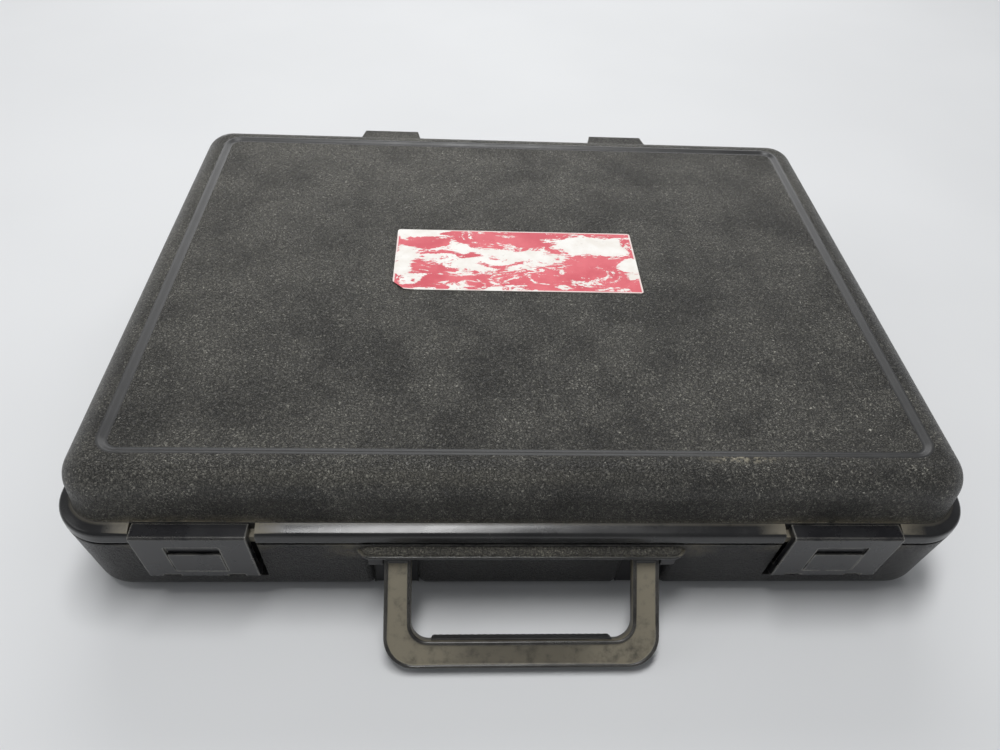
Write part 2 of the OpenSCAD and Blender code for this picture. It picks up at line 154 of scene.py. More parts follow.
def lerp_rings(a, b, steps):
    """Rings between two rings, both ends left out."""
    return [[tuple(p[k] + (q[k] - p[k]) * s / steps for k in range(3)) for p, q in zip(a, b)]
            for s in range(1, steps)]


def mesh_object(name, verts, faces, scale=MM):
    mesh = bpy.data.meshes.new(name)
    mesh.from_pydata([[c * scale for c in v] for v in verts], [], faces)
    obj = bpy.data.objects.new(name, mesh)
    scene.collection.objects.link(obj)
    bm = bmesh.new()
    bm.from_mesh(mesh)
    bmesh.ops.remove_doubles(bm, verts=bm.verts, dist=1e-7)
    bmesh.ops.recalc_face_normals(bm, faces=bm.faces)
    bm.to_mesh(mesh)
    bm.free()
    return obj


def loft(name, rings, closed=False, caps=True):
    """Skin over a row of rings with the same number of points."""
    n = len(rings[0])
    verts = [p for r in rings for p in r]
    faces = []
    rows = len(rings) if closed else len(rings) - 1
    for k in range(rows):
        a, b = k * n, (k + 1) % len(rings) * n
        faces += [(a + i, a + (i + 1) % n, b + (i + 1) % n, b + i) for i in range(n)]
    if caps and not closed:
        faces += [tuple(range(n)), tuple(range((len(rings) - 1) * n, len(rings) * n))]
    return mesh_object(name, verts, faces)


def arc(cx, cz, r, a0, a1, steps):
    return [(cx + r * math.cos(math.radians(a0 + (a1 - a0) * i / steps)),
             cz + r * math.sin(math.radians(a0 + (a1 - a0) * i / steps))) for i in range(steps + 1)]


def fillet(points, radii, steps=4):
    """Closed 2D outline with its corners rounded."""
    n = len(points)
    out = []
    for i, p in enumerate(points):
        r = radii[i] if isinstance(radii, (list, tuple)) else radii
        p, a, b = Vector(p), Vector(points[i - 1]), Vector(points[(i + 1) % n])
        u, v = (a - p), (b - p)
        lu, lv = u.length, v.length
        u, v = u.normalized(), v.normalized()
        dot = max(-1, min(1, u.dot(v)))
        ang = math.acos(dot)
        if r <= 0 or ang > math.radians(178):
            out.append(tuple(p))
            continue
        t = min(r / math.tan(ang / 2), 0.48 * lu, 0.48 * lv)
        rr = t * math.tan(ang / 2)
        mid = p + (u + v).normalized() * (rr / math.sin(ang / 2))
        s, e = p + u * t - mid, p + v * t - mid
        a0 = math.atan2(s.y, s.x)
        d = math.atan2(e.y, e.x) - a0
        while d > math.pi:
            d -= 2 * math.pi
        while d < -math.pi:
            d += 2 * math.pi
        out += [(mid.x + rr * math.cos(a0 + d * k / steps), mid.y + rr * math.sin(a0 + d * k / steps))
                for k in range(steps + 1)]
    return out


def prism(name, outline, low, high, plane="YZ", soft=0.4, steps=3, parts=1):
    """Outline drawn in a plane and pushed out along the third axis, with its end edges rounded."""
    def place(p, h):
        return {"YZ": (h, p[0], p[1]), "XY": (p[0], p[1], h), "XZ": (p[0], h, p[1])}[plane]
    n = len(outline)
    levels = [low + (high - low) * k / parts for k in range(parts + 1)]
    verts = [place(p, h) for h in levels for p in outline]
    faces = [tuple(range(n)), tuple(range(parts * n, (parts + 1) * n))]
    for k in range(parts):
        faces += [(k * n + i, k * n + (i + 1) % n, (k + 1) * n + (i + 1) % n, (k + 1) * n + i) for i in range(n)]
    obj = mesh_object(name, verts, faces)
    if soft:
        bm = bmesh.new()
        bm.from_mesh(obj.data)
        caps = [f for f in bm.faces if len(f.verts) == n and n > 4 or
                all(abs({"YZ": v.co.x, "XY": v.co.z, "XZ": v.co.y}[plane] / MM - low) < 1e-3 for v in f.verts) or
                all(abs({"YZ": v.co.x, "XY": v.co.z, "XZ": v.co.y}[plane] / MM - high) < 1e-3 for v in f.verts)]
        edges = {e for f in caps for e in f.edges}
        bmesh.ops.bevel(bm, geom=list(edges), offset=soft * MM, segments=steps, profile=0.5,
                        affect="EDGES", clamp_overlap=True)
        bmesh.ops.recalc_face_normals(bm, faces=bm.faces)
        bm.to_mesh(obj.data)
        bm.free()
    return obj


def slab(name, x, y, z, soft=0.0, steps=3):
    """Box with its edges rounded."""
    verts = [(a, b, c) for a in x for b in y for c in z]
    faces = [(0, 1, 3, 2), (4, 6, 7, 5), (0, 4, 5, 1), (2, 3, 7, 6), (0, 2, 6, 4), (1, 5, 7, 3)]
    obj = mesh_object(name, verts, faces)
    if soft:
        bm = bmesh.new()
        bm.from_mesh(obj.data)
        bmesh.ops.bevel(bm, geom=list(bm.edges), offset=soft * MM, segments=steps, profile=0.5,
                        affect="EDGES", clamp_overlap=True)
        bm.to_mesh(obj.data)
        bm.free()
    return obj


def rod(name, x0, x1, y, z, r, soft=0.3, steps=32):
    circle = [(y + r * math.cos(2 * math.pi * i / steps), z + r * math.sin(2 * math.pi * i / steps))
              for i in range(steps)]
    return prism(name, circle, x0, x1, "YZ", soft=soft, steps=2)


def join(name, objects):
    """One object from several, with their meshes side by side."""
    bm = bmesh.new()
    for o in objects:
        bm.from_mesh(o.data)
        bpy.data.objects.remove(o)
    mesh = bpy.data.meshes.new(name)
    bm.to_mesh(mesh)
    bm.free()
    obj = bpy.data.objects.new(name, mesh)
    scene.collection.objects.link(obj)
    return obj


def combine(obj, cutters, operation="DIFFERENCE"):
    """Exact boolean of obj with each cutter, which is then removed."""
    for cutter in cutters:
        modifier = obj.modifiers.new("cut", "BOOLEAN")
        modifier.operation = operation
        modifier.solver = "EXACT"
        modifier.object = cutter
        graph = bpy.context.evaluated_depsgraph_get()
        mesh = bpy.data.meshes.new_from_object(obj.evaluated_get(graph))
        obj.modifiers.clear()
        obj.data = mesh
        bpy.data.objects.remove(cutter)
    return obj


def finish_mesh(obj, angle=32, weighted=True):
    """Smooth shading with its sharp edges kept."""
    bm = bmesh.new()
    bm.from_mesh(obj.data)
    bmesh.ops.remove_doubles(bm, verts=bm.verts, dist=2e-6)
    bmesh.ops.dissolve_degenerate(bm, edges=bm.edges, dist=1e-6)
    limit = math.radians(angle)
    for f in bm.faces:
        f.smooth = True
    for e in bm.edges:
        e.smooth = not (len(e.link_faces) == 2 and e.calc_face_angle(0) > limit)
    bm.to_mesh(obj.data)
    bm.free()
    if weighted:
        modifier = obj.modifiers.new("normals", "WEIGHTED_NORMAL")
        modifier.keep_sharp = True
        modifier.weight = 80
    return obj


def attribute(obj, name, rule):
    """Number at every vertex, from its place in mm."""
    layer = obj.data.attributes.new(name, "FLOAT", "POINT")
    layer.data.foreach_set("value", [float(rule(*(v.co / MM))) for v in obj.data.vertices])


def inset_of(x, y):
    """How far a place is set in from the rim's face."""
    qx, qy = abs(x) - (HALF_W - RIM_R), abs(y) - (HALF_D - RIM_R)
    outside = math.hypot(max(qx, 0), max(qy, 0)) + min(max(qx, qy), 0)
    return RIM_R - outside


def step(low, high, value):
    t = max(0, min(1, (value - low) / (high - low)))
    return t * t * (3 - 2 * t)


# ---------------------------------------------------------------- materials


class Tree:
    """Short way to write a material's nodes."""

    def __init__(self, name):
        self.material = bpy.data.materials.new(name)
        self.material.use_nodes = True
        self.nodes = self.material.node_tree.nodes
        self.links = self.material.node_tree.links
        self.shader = self.nodes["Principled BSDF"]
        self.place = self.add("ShaderNodeTexCoord").outputs["Object"]

    def add(self, kind, inputs=None, **settings):
        node = self.nodes.new(kind)
        for key, value in settings.items():
            setattr(node, key, value)
        for key, value in (inputs or {}).items():
            self.put(node.inputs[key], value)
        return node

    def put(self, socket, value):
        if isinstance(value, bpy.types.NodeSocket):
            self.links.new(value, socket)
        else:
            socket.default_value = value

    def noise(self, scale, detail=3.0, rough=0.55, place=None, distort=0.0):
        return self.add("ShaderNodeTexNoise", {"Vector": place or self.place, "Scale": scale, "Detail": detail,
                                               "Roughness": rough, "Distortion": distort}).outputs["Fac"]

    def cells(self, scale, feature="DISTANCE_TO_EDGE", place=None, random=1.0):
        node = self.add("ShaderNodeTexVoronoi", {"Vector": place or self.place, "Scale": scale, "Randomness": random},
                        feature=feature)
        return node.outputs["Distance"]

    def ramp(self, value, low, high, to_low=0.0, to_high=1.0):
        return self.add("ShaderNodeMapRange", {"Value": value, "From Min": low, "From Max": high,
                                               "To Min": to_low, "To Max": to_high},
                        interpolation_type="SMOOTHSTEP").outputs["Result"]

    def math(self, kind, a, b=0.0, c=0.0, clamp=False):
        node = self.add("ShaderNodeMath", operation=kind, use_clamp=clamp)
        for socket, value in zip(node.inputs, (a, b, c)):
            self.put(socket, value)
        return node.outputs[0]

    def mix(self, share, a, b):
        node = self.add("ShaderNodeMix", data_type="RGBA")
        self.put(node.inputs[0], share)
        self.put(node.inputs[6], a if isinstance(a, bpy.types.NodeSocket) else (*a, 1))
        self.put(node.inputs[7], b if isinstance(b, bpy.types.NodeSocket) else (*b, 1))
        return node.outputs[2]

    def axis(self, which):
        return self.add("ShaderNodeSeparateXYZ", {"Vector": self.place}).outputs[which]

    def spot(self, mid, radii):
        """1 in the middle of an ellipsoid, given in mm, and 0 outside it."""
        moved = self.add("ShaderNodeVectorMath", {0: self.place, 1: [m * MM for m in mid]}, operation="SUBTRACT")
        scaled = self.add("ShaderNodeVectorMath", {0: moved.outputs[0], 1: [1 / (r * MM) for r in radii]},
                          operation="MULTIPLY")
        length = self.add("ShaderNodeVectorMath", {0: scaled.outputs[0]}, operation="LENGTH").outputs["Value"]
        return self.ramp(length, 1.0, 0.1)

    def attribute(self, name):
        return self.add("ShaderNodeAttribute", attribute_name=name).outputs["Fac"]

    def soft_edges(self, radius):
        return self.add("ShaderNodeBevel", {"Radius": radius * MM}, samples=6).outputs["Normal"]

    def edge_mask(self, soft, low=0.004, high=0.09):
        """1 along the edges, where the softened normal leaves the real one."""
        true = self.add("ShaderNodeNewGeometry").outputs["Normal"]
        dot = self.add("ShaderNodeVectorMath", {0: soft, 1: true}, operation="DOT_PRODUCT").outputs["Value"]
        return self.ramp(self.math("SUBTRACT", 1.0, dot), low, high)

    def bump(self, height, strength, distance, normal=None):
        node = self.add("ShaderNodeBump", {"Height": height, "Strength": strength, "Distance": distance * MM})
        if normal is not None:
            self.put(node.inputs["Normal"], normal)
        return node.outputs["Normal"]

    def finish(self, color, rough, normal=None, **fixed):
        self.put(self.shader.inputs["Base Color"], color if isinstance(color, bpy.types.NodeSocket) else (*color, 1))
        self.put(self.shader.inputs["Roughness"], rough)
        if normal is not None:
            self.put(self.shader.inputs["Normal"], normal)
        for key, value in fixed.items():
            self.shader.inputs[key.replace("_", " ")].default_value = value
        return self.material


TAN = (0.23, 0.205, 0.15)


def grained_plastic(name, dark, light, speck=1.0, dust_sheen_share=(0.1, 0.1), rubbed=()):
    """Leather-grained black plastic: wrinkled cells with painted shade in their creases, pale flecks that are painted
    glints on the grain's ridges, painted edge highlights with some rubbed wear, and dust.

    The pair after speck is the share, at the front and at the back of the piece, of a pale coat that is partly dust
    and partly painted sheen."""
    t = Tree(name)
    warp = t.add("ShaderNodeTexNoise", {"Vector": t.place, "Scale": 380.0, "Detail": 2.0}).outputs["Color"]
    shift = t.add("ShaderNodeVectorMath", {0: warp, 1: (0.0034, 0.0034, 0.0034)}, operation="MULTIPLY").outputs[0]
    bent = t.add("ShaderNodeVectorMath", {0: t.place, 1: shift}, operation="ADD").outputs[0]
    cells = t.cells(640.0, place=bent)
    fine_cells = t.cells(1150.0, place=bent)
    crease = t.ramp(cells, 0.02, 0.15, 1.0, 0.0)
    patch = t.noise(26.0, 5.0, 0.62)
    broad = t.noise(5.0, 3.0, 0.5)
    # Patches where the painted glints show most.
    glint_patches = t.math("MULTIPLY", t.ramp(patch, 0.36, 0.64), t.ramp(broad, 0.34, 0.66, 0.55, 1.0))
    wander = t.noise(560.0, 2.0, 0.5, place=bent, distort=1.2)
    # Thin curved strokes along the grain's ridges: the pattern of the painted glints, also used in the bump.
    stroke = t.ramp(t.math("ABSOLUTE", t.math("SUBTRACT", wander, 0.5)), 0.045, 0.0)
    fleck = t.math("MULTIPLY", stroke, t.ramp(t.noise(900.0, 2.0, 0.6), 0.42, 0.56))
    glint_specks = t.math("MULTIPLY", fleck, t.math("MULTIPLY_ADD", glint_patches, 0.55, 0.45))
    base = t.mix(t.ramp(patch, 0.3, 0.7), dark, [0.9 * d + 0.1 * l for d, l in zip(dark, light)])
    # Pale coat, partly dust and partly painted sheen (the grazing reflection towards the back): it runs from the front
    # share to the back share, comes in patches and thins towards the right.
    dust_sheen = t.math("MULTIPLY", t.ramp(t.axis("Y"), -0.16, 0.16, *dust_sheen_share), t.ramp(patch, 0.28, 0.66, 0.62, 1.0))
    dust_sheen = t.math("MULTIPLY", dust_sheen, t.ramp(t.axis("X"), -0.10, 0.22, 1.0, 0.72))
    # Painted highlight: a pale band along the top of the front roll.
    dust_sheen = t.math("MAXIMUM", dust_sheen, t.math("MULTIPLY", t.spot((-60, -163, 89), (230, 10, 10)), 0.75))
    base = t.mix(dust_sheen, base, (0.165, 0.157, 0.132))
    # Painted shade: the grain's creases are darkened.
    base = t.mix(t.math("MULTIPLY", crease, 0.75), base, [0.4 * d for d in dark])
    # Painted glints: pale flecks along the grain's ridges.
    base = t.mix(t.math("MULTIPLY", glint_specks, speck, clamp=True), base, light)
    soft = t.soft_edges(0.7)
    # Painted edge highlight, partly rubbed wear: pale along the edges, in patches.
    edge = t.math("MULTIPLY", t.edge_mask(soft), t.ramp(t.noise(70.0, 4.0, 0.65), 0.38, 0.62))
    base = t.mix(t.math("MULTIPLY", edge, 0.5), base, light)
    for mid, radii, share in rubbed:
        rub = t.math("MULTIPLY", t.spot(mid, radii), t.ramp(t.noise(420.0, 3.0, 0.7, place=bent), 0.47, 0.56))
        base = t.mix(t.math("MULTIPLY", rub, share), base, (0.45, 0.41, 0.31))
    dust = t.math("MULTIPLY", t.attribute("dust"), t.ramp(t.noise(160.0, 4.0, 0.7), 0.30, 0.58))
    base = t.mix(dust, base, TAN)
    rough = t.math("MULTIPLY_ADD", dust, 0.35, t.ramp(patch, 0.3, 0.7, 0.28, 0.42), clamp=True)
    height = t.math("MULTIPLY_ADD", t.ramp(fine_cells, 0.0, 0.3), 0.4, t.ramp(cells, 0.0, 0.26))
    height = t.math("MULTIPLY_ADD", stroke, 0.5, height)
    normal = t.bump(height, 1.0, 0.50, soft)
    return t.finish(base, rough, t.bump(broad, 0.4, 1.2, normal), IOR=1.48)


def smooth_plastic(name, dark, light, rough_low, rough_high, edge_share=0.5, dusty=False, edge_radius=0.5):
    """Smooth satin plastic with faint mottling, hairline scratches, and edges lightened as painted highlight with some
    rubbed wear.
    """
    t = Tree(name)
    patch = t.noise(40.0, 5.0, 0.6)
    fine = t.noise(700.0, 3.0, 0.6)
    streak_place = t.add("ShaderNodeMapping", {"Vector": t.place, "Scale": (1.0, 14.0, 14.0),
                                               "Rotation": (0.2, 0.3, 0.5)}).outputs[0]
    scratch = t.ramp(t.noise(90.0, 4.0, 0.75, place=streak_place), 0.66, 0.72)
    base = t.mix(t.ramp(patch, 0.32, 0.7), dark, light)
    base = t.mix(t.math("MULTIPLY", scratch, 0.35), base, [2.4 * c for c in light])
    soft = t.soft_edges(edge_radius)
    # Painted edge highlight, partly rubbed wear: the edges are lightened, in patches.
    edge = t.math("MULTIPLY", t.edge_mask(t.soft_edges(2.2 * edge_radius), 0.012, 0.10),
                  t.ramp(t.noise(110.0, 4.0, 0.6), 0.28, 0.55))
    base = t.mix(t.math("MULTIPLY", edge, edge_share), base, (0.30, 0.29, 0.26))
    rough = t.ramp(patch, 0.3, 0.7, rough_low, rough_high)
    if dusty:
        dust = t.math("MULTIPLY", t.attribute("dust"), t.ramp(t.noise(130.0, 5.0, 0.7), 0.22, 0.56, 0.25, 1.0))
        base = t.mix(dust, base, TAN)
        rough = t.math("MULTIPLY_ADD", dust, 0.4, rough, clamp=True)
    normal = t.bump(fine, 0.12, 0.1, soft)
    return t.finish(base, rough, normal, IOR=1.54)


def foam_material(name, dark, light):
    t = Tree(name)
    pores = t.cells(620.0, feature="F1")
    small = t.cells(1500.0, feature="F1")
    blotch = t.noise(14.0, 3.0)
    base = t.mix(t.ramp(pores, 0.15, 0.75), dark, light)
    base = t.mix(t.ramp(blotch, 0.3, 0.75, 0.0, 0.35), base, [0.7 * c for c in light])
    height = t.math("ADD", t.ramp(pores, 0.0, 0.7), t.math("MULTIPLY", small, 0.6))
    return t.finish(base, 0.96, t.bump(height, 1.0, 0.9), Sheen_Weight=0.2, Sheen_Roughness=0.6)


def steel(name):
    t = Tree(name)
    along = t.add("ShaderNodeMapping", {"Vector": t.place, "Scale": (60.0, 900.0, 900.0)}).outputs[0]
    lines = t.noise(1.0, 4.0, place=along)
    base = t.mix(t.ramp(lines, 0.3, 0.7), (0.32, 0.32, 0.33), (0.5, 0.5, 0.5))
    return t.finish(base, t.ramp(lines, 0.3, 0.7, 0.28, 0.42), t.bump(lines, 0.15, 0.05), Metallic=1.0)


def label_material(name):
    """White paper with a plain red print that is scuffed away in patches, and no lettering."""
    t = Tree(name)
    stretched = t.add("ShaderNodeMapping", {"Vector": t.place, "Scale": (1.0, 2.2, 1.0), "Rotation": (0, 0, 0.25)})
    scuff = t.noise(46.0, 8.0, 0.70, place=stretched.outputs[0], distort=0.9)
    fine = t.noise(300.0, 6.0, 0.75, place=stretched.outputs[0])
    x, y = t.axis("X"), t.axis("Y")
    wear = t.math("MULTIPLY_ADD", t.spot((LABEL_X - 12, LABEL_Y + 2, PANEL_Z), (60, 22, 60)), 0.13, scuff)
    for mid, radii, share in (((label_hi[0] - 27, LABEL_Y + 16, PANEL_Z), (30, 14, 60), 0.36),
                              ((label_lo[0] + 10, label_hi[1] - 3, PANEL_Z), (26, 9, 60), 0.34),
                              ((label_lo[0] + 5, LABEL_Y - 4, PANEL_Z), (9, 26, 60), 0.22),
                              ((label_hi[0] - 4, LABEL_Y - 6, PANEL_Z), (8, 20, 60), 0.2)):
        wear = t.math("MULTIPLY_ADD", t.spot(mid, radii), share, wear)
    wear = t.math("MULTIPLY_ADD", fine, 0.30, wear)
    bare = t.ramp(wear, 0.675, 0.715)
    half_w, half_d = label_hi[0] - LABEL_X, label_hi[1] - LABEL_Y
    border_x = t.ramp(t.math("ABSOLUTE", t.math("SUBTRACT", x, LABEL_X * MM)), (half_w - 1.2) * MM,
                      (half_w - 0.8) * MM)
    border_y = t.ramp(t.math("ABSOLUTE", t.math("SUBTRACT", y, LABEL_Y * MM)), (half_d - 1.1) * MM,
                      (half_d - 0.7) * MM)
    bare = t.math("MAXIMUM", bare, t.math("MULTIPLY", t.math("MAXIMUM", border_x, border_y), 0.8))
    red = t.mix(t.ramp(t.noise(60.0, 4.0), 0.3, 0.7), (0.60, 0.045, 0.075), (0.72, 0.11, 0.14))
    paper = t.mix(t.ramp(t.noise(90.0, 4.0), 0.35, 0.7), (0.93, 0.91, 0.87), (0.84, 0.80, 0.74))
    base = t.mix(bare, red, paper)
    grime = t.ramp(t.noise(300.0, 3.0, 0.7), 0.62, 0.75)
    base = t.mix(t.math("MULTIPLY", grime, 0.25), base, (0.25, 0.2, 0.16))
    return t.finish(base, t.ramp(bare, 0.0, 1.0, 0.42, 0.72), t.bump(bare, 0.5, 0.06), IOR=1.45)


LID_GRAIN = grained_plastic("lid_grain", (0.016, 0.016, 0.017), (0.50, 0.485, 0.42), dust_sheen_share=(0.34, 0.72),
                            rubbed=[((105, -152, 91), (26, 5, 8), 0.8)])
# A darker copy of the lid's grain with dimmer flecks: painted shade for the base's sides.
BASE_GRAIN = grained_plastic("base_grain", (0.009, 0.009, 0.011), (0.20, 0.19, 0.17), speck=0.7)
SHELF_GRAIN = grained_plastic("shelf_grain", (0.040, 0.038, 0.034), (0.55, 0.52, 0.42), dust_sheen_share=(0.7, 0.7))
# The sunk panel's ramp: its edges carry strong painted highlight lines, with some rubbed wear.
PANEL_EDGE = smooth_plastic("panel_edge", (0.012, 0.012, 0.013), (0.026, 0.026, 0.026), 0.36, 0.46, 0.7,
                            edge_radius=0.8)
RIM_SATIN = smooth_plastic("rim_satin", (0.012, 0.012, 0.013), (0.024, 0.024, 0.024), 0.20, 0.28, 0.45, dusty=True)
SHELL_INSIDE = smooth_plastic("shell_inside", (0.012, 0.012, 0.013), (0.019, 0.019, 0.020), 0.42, 0.52, 0.2)
LATCH_SATIN = smooth_plastic("latch_satin", (0.009, 0.009, 0.011), (0.019, 0.019, 0.021), 0.24, 0.34, 1.0,
                             edge_radius=0.7)
SLIDE_SATIN = smooth_plastic("slide_satin", (0.008, 0.008, 0.010), (0.016, 0.016, 0.018), 0.24, 0.32, 1.0,
                             edge_radius=0.7)
KEEPER_PLASTIC = smooth_plastic("keeper_plastic", (0.020, 0.020, 0.021), (0.030, 0.030, 0.031), 0.38, 0.48, 0.3)
HANDLE_SATIN = smooth_plastic("handle_satin", (0.014, 0.013, 0.012), (0.030, 0.028, 0.026), 0.26, 0.38, 1.0,
                              dusty=True, edge_radius=0.7)
GRIP_RUBBER = smooth_plastic("grip_rubber", (0.010, 0.010, 0.010), (0.017, 0.017, 0.017), 0.62, 0.72, 0.2)
BASE_FOAM = foam_material("base_foam_cells", (0.012, 0.012, 0.013), (0.060, 0.060, 0.064))
LID_FOAM = foam_material("lid_foam_cells", (0.016, 0.016, 0.018), (0.075, 0.075, 0.080))
PIN_STEEL = steel("pin_steel_brushed")
LABEL_PAPER = label_material("label_paper_worn")


def dress(obj, body, *materials, slot=None, stands_for=()):
    for m in materials:
        obj.data.materials.append(m)
    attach(obj, body)
    if stands_for:
        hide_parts(*stands_for)
    return obj


# ---------------------------------------------------------------- lid shell

WALL_FOOT = PART_Z + RIM_ROUND
LID_SPRING = TOP_Z - LID_ROUND
PANEL_IN = 24.8
PANEL_R = 10
RAMP = 3
RIM_FILLET = 1.2
RIM_SLOPE = 18


def lid_wall_inset(z, inset=LEDGE, foot=WALL_FOOT, spring=LID_SPRING):
    return inset + DRAFT * (z - foot) / (spring - foot)


def lid_rings():
    low = PART_Z + GAP
    rows = [ring(6.7, low), ring(4.5, low)]
    rows += [ring(RIM_R - x, z) for x, z in arc(RIM_R - RIM_ROUND, low + RIM_ROUND, RIM_ROUND, -90, 0, 7)]
    slope = math.radians(RIM_SLOPE)
    mid_z = RIM_TOP - RIM_ROUND * math.cos(slope) - \
        (LEDGE - RIM_ROUND + RIM_ROUND * math.sin(slope)) * math.tan(slope)
    rows += [ring(RIM_R - x, z) for x, z in arc(RIM_R - RIM_ROUND, mid_z, RIM_ROUND, 0, 90 - RIM_SLOPE, 7)]
    foot = lid_wall_inset(RIM_TOP + RIM_FILLET)
    rows += [ring(i, RIM_TOP - (LEDGE - i) * math.tan(slope)) for i in (3.2, 4.6)]
    rows += [ring(RIM_R - x, z) for x, z in
             arc(RIM_R - foot + RIM_FILLET, RIM_TOP + RIM_FILLET - 0.35, RIM_FILLET, -108, -180, 5)]
    rows += [ring(lid_wall_inset(z), z) for z in (64, 67, 71)]
    edge = lid_wall_inset(LID_SPRING) + LID_ROUND
    rows += [ring(RIM_R - x, z) for x, z in arc(RIM_R - edge, LID_SPRING, LID_ROUND, 0, 90, 18)]
    half = (HALF_W - PANEL_IN, HALF_D - PANEL_IN)
    lip = 0.7
    for inset, down in ((-0.9, 0.0), (-0.15, 0.0), (0.2, 0.03), (0.5, 0.13), (lip, 0.25), (RAMP - lip, 1.25), (RAMP - 0.3, 1.42),
                        (RAMP + 0.2, 1.5)):
        rows.append(ring(0, TOP_Z - down, r=PANEL_R - inset, half=(half[0] - inset, half[1] - inset)))
    panel = ring(0, PANEL_Z, r=PANEL_R - RAMP - 1, half=(half[0] - RAMP - 1, half[1] - RAMP - 1))
    mid = (LABEL_X, LABEL_Y - 1)
    hole = ring(0, PANEL_Z, r=2.6, half=(78.0, 35.0), mid=mid)
    rows += [panel] + lerp_rings(panel, hole, 9) + [hole]
    rows += [ring(0, PANEL_Z - 0.12, r=2.1, half=(77.5, 34.5), mid=mid),
             ring(0, PANEL_Z - 0.3, r=1.8, half=(77.2, 34.2), mid=mid)]
    return rows


def lid_inner_rings():
    ceiling = PANEL_Z - WALL
    spring = ceiling - (LID_ROUND - WALL)
    inset = LEDGE + WALL
    rows = [ring(RIM_R - x, z) for x, z in
            arc(RIM_R - inset - DRAFT - (LID_ROUND - WALL), spring, LID_ROUND - WALL, 90, 0, 10)]
    rows += [ring(lid_wall_inset(z, inset, PART_Z, spring), z) for z in (66, 60, 54.3)]
    rows += [ring(7.2, 54.3), ring(6.7, 53.9)]
    return rows


def lid_shell():
    outer, inner = lid_rings(), lid_inner_rings()
    n = len(outer[0])
    rows = outer + inner
    verts = [p for r in rows for p in r]
    faces = []
    for k in range(len(rows)):
        if k == len(outer) - 1:
            continue
        a, b = k * n, (k + 1) % len(rows) * n
        faces += [(a + i, a + (i + 1) % n, b + (i + 1) % n, b + i) for i in range(n)]
    k = (len(outer) - 1) * n
    faces += [tuple(range(k, k + n)), tuple(range(k + n, k + 2 * n))]
    obj = mesh_object("lid_shell_moulding", verts, faces)
    cutters = []
    for side, _ in SIDES:
        x = sorted((side * (LATCH_X - 27.5 - 3), side * (LATCH_X + 27.5 + 1.2)))
        cutters.append(lean(slab("cut", x, (-186, LATCH_BACK + 0.3), (PART_Z - 2, RIM_TOP + 0.5))))
        cutters.append(slab("cut", x, (-190, HOOK_Y + 0.3), (HOOK_LOW - 0.3, RIM_TOP + 1)))
        cutters.append(lean(slab("cut", (side * LATCH_X - 6.3, side * LATCH_X + 6.3), (-168.9, -167.2), (PART_Z - 2, 54.8))))
        for s in (-1, 1):
            mid = side * HINGE_X + s * 12.4
            cutters.append(rod("cut", mid - 6.4, mid + 6.4, HINGE[1], HINGE[2], 4.4, soft=0))
    return combine(obj, cutters)


lid = lid_shell()
finish_mesh(lid)


def panel_inset(x, y):
    """How far a place is set in from the outer edge of the sunk panel's ramp."""
    qx, qy = abs(x) - (HALF_W - PANEL_IN - PANEL_R), abs(y) - (HALF_D - PANEL_IN - PANEL_R)
    return PANEL_R - math.hypot(max(qx, 0), max(qy, 0)) - min(max(qx, qy), 0)


def lid_dust(x, y, z):
    """Dust lies at the foot of the wall, most of all above the latches, and in their notches."""
    near_latch = y < 0 and LATCH_X - 34 < abs(x) < LATCH_X + 32
    if RIM_TOP - 0.7 <= z < RIM_TOP + 6 and inset_of(x, y) > 4.9:
        return step(RIM_TOP + (5.0 if near_latch else 1.6), RIM_TOP + 0.3, z) * (1.0 if near_latch else 0.35)
    return 0.8 if near_latch and z < RIM_TOP and y > -174.5 else 0.0


attribute(lid, "dust", lid_dust)
dress(lid, "lid", LID_GRAIN, RIM_SATIN, SHELL_INSIDE, PANEL_EDGE, slot="lid_plastic", stands_for=["lid_shell"])
for face in lid.data.polygons:
    c = face.center / MM
    inset = inset_of(c.x, c.y)
    if c.z <= RIM_TOP + 0.05 and inset < 6.2:
        face.material_index = 1
    elif (inset > 8.6 and c.z < 75) or (c.z < PANEL_Z - 2.5 and inset > 24) or (c.z < RIM_TOP and inset >= 6.2):
        face.material_index = 2
    elif c.z > PANEL_Z - 0.05 and -0.85 < panel_inset(c.x, c.y) < RAMP + 0.95:
        face.material_index = 3
for face in lid.data.polygons:
    c, n = face.center / MM, face.normal
    if face.material_index == 0 and c.z < PANEL_Z - 2 and n.z < -0.05:
        face.material_index = 2

# ---------------------------------------------------------------- base shell

BASE_TOP = PART_Z - GAP
BASE_ROUND = 14
BASE_IN = 0.3


def tub(inset, low, high, edge, steps):
    """Half section of the leaning wall at a corner, from the flat bottom up, as inset and height."""
    r = RIM_R - inset
    run = high - low - edge * (1 - math.sin(LEAN))
    x = r - run * math.tan(LEAN) - edge * math.cos(LEAN)
    section = arc(x, low + edge, edge, -90, -7, steps)
    return [(RIM_R - px, pz) for px, pz in section] + [(inset, high)]


def front_y(z):
    """Y of the base's outer front wall at a height."""
    points = tub(BASE_IN, 0, BASE_TOP, BASE_ROUND, 24)
    inset = np.interp(z, [p[1] for p in points], [p[0] for p in points])
    return -(HALF_D - inset)


def base_outer_rings():
    section = tub(BASE_IN, 0, BASE_TOP, BASE_ROUND, 14)
    rows = [ring(i, z) for i, z in section[:-1]]
    i0, z0 = section[-2]
    rows += [ring(i0 + (BASE_IN - i0) * k / 5, z0 + (BASE_TOP - z0) * k / 5) for k in range(1, 5)]
    return rows


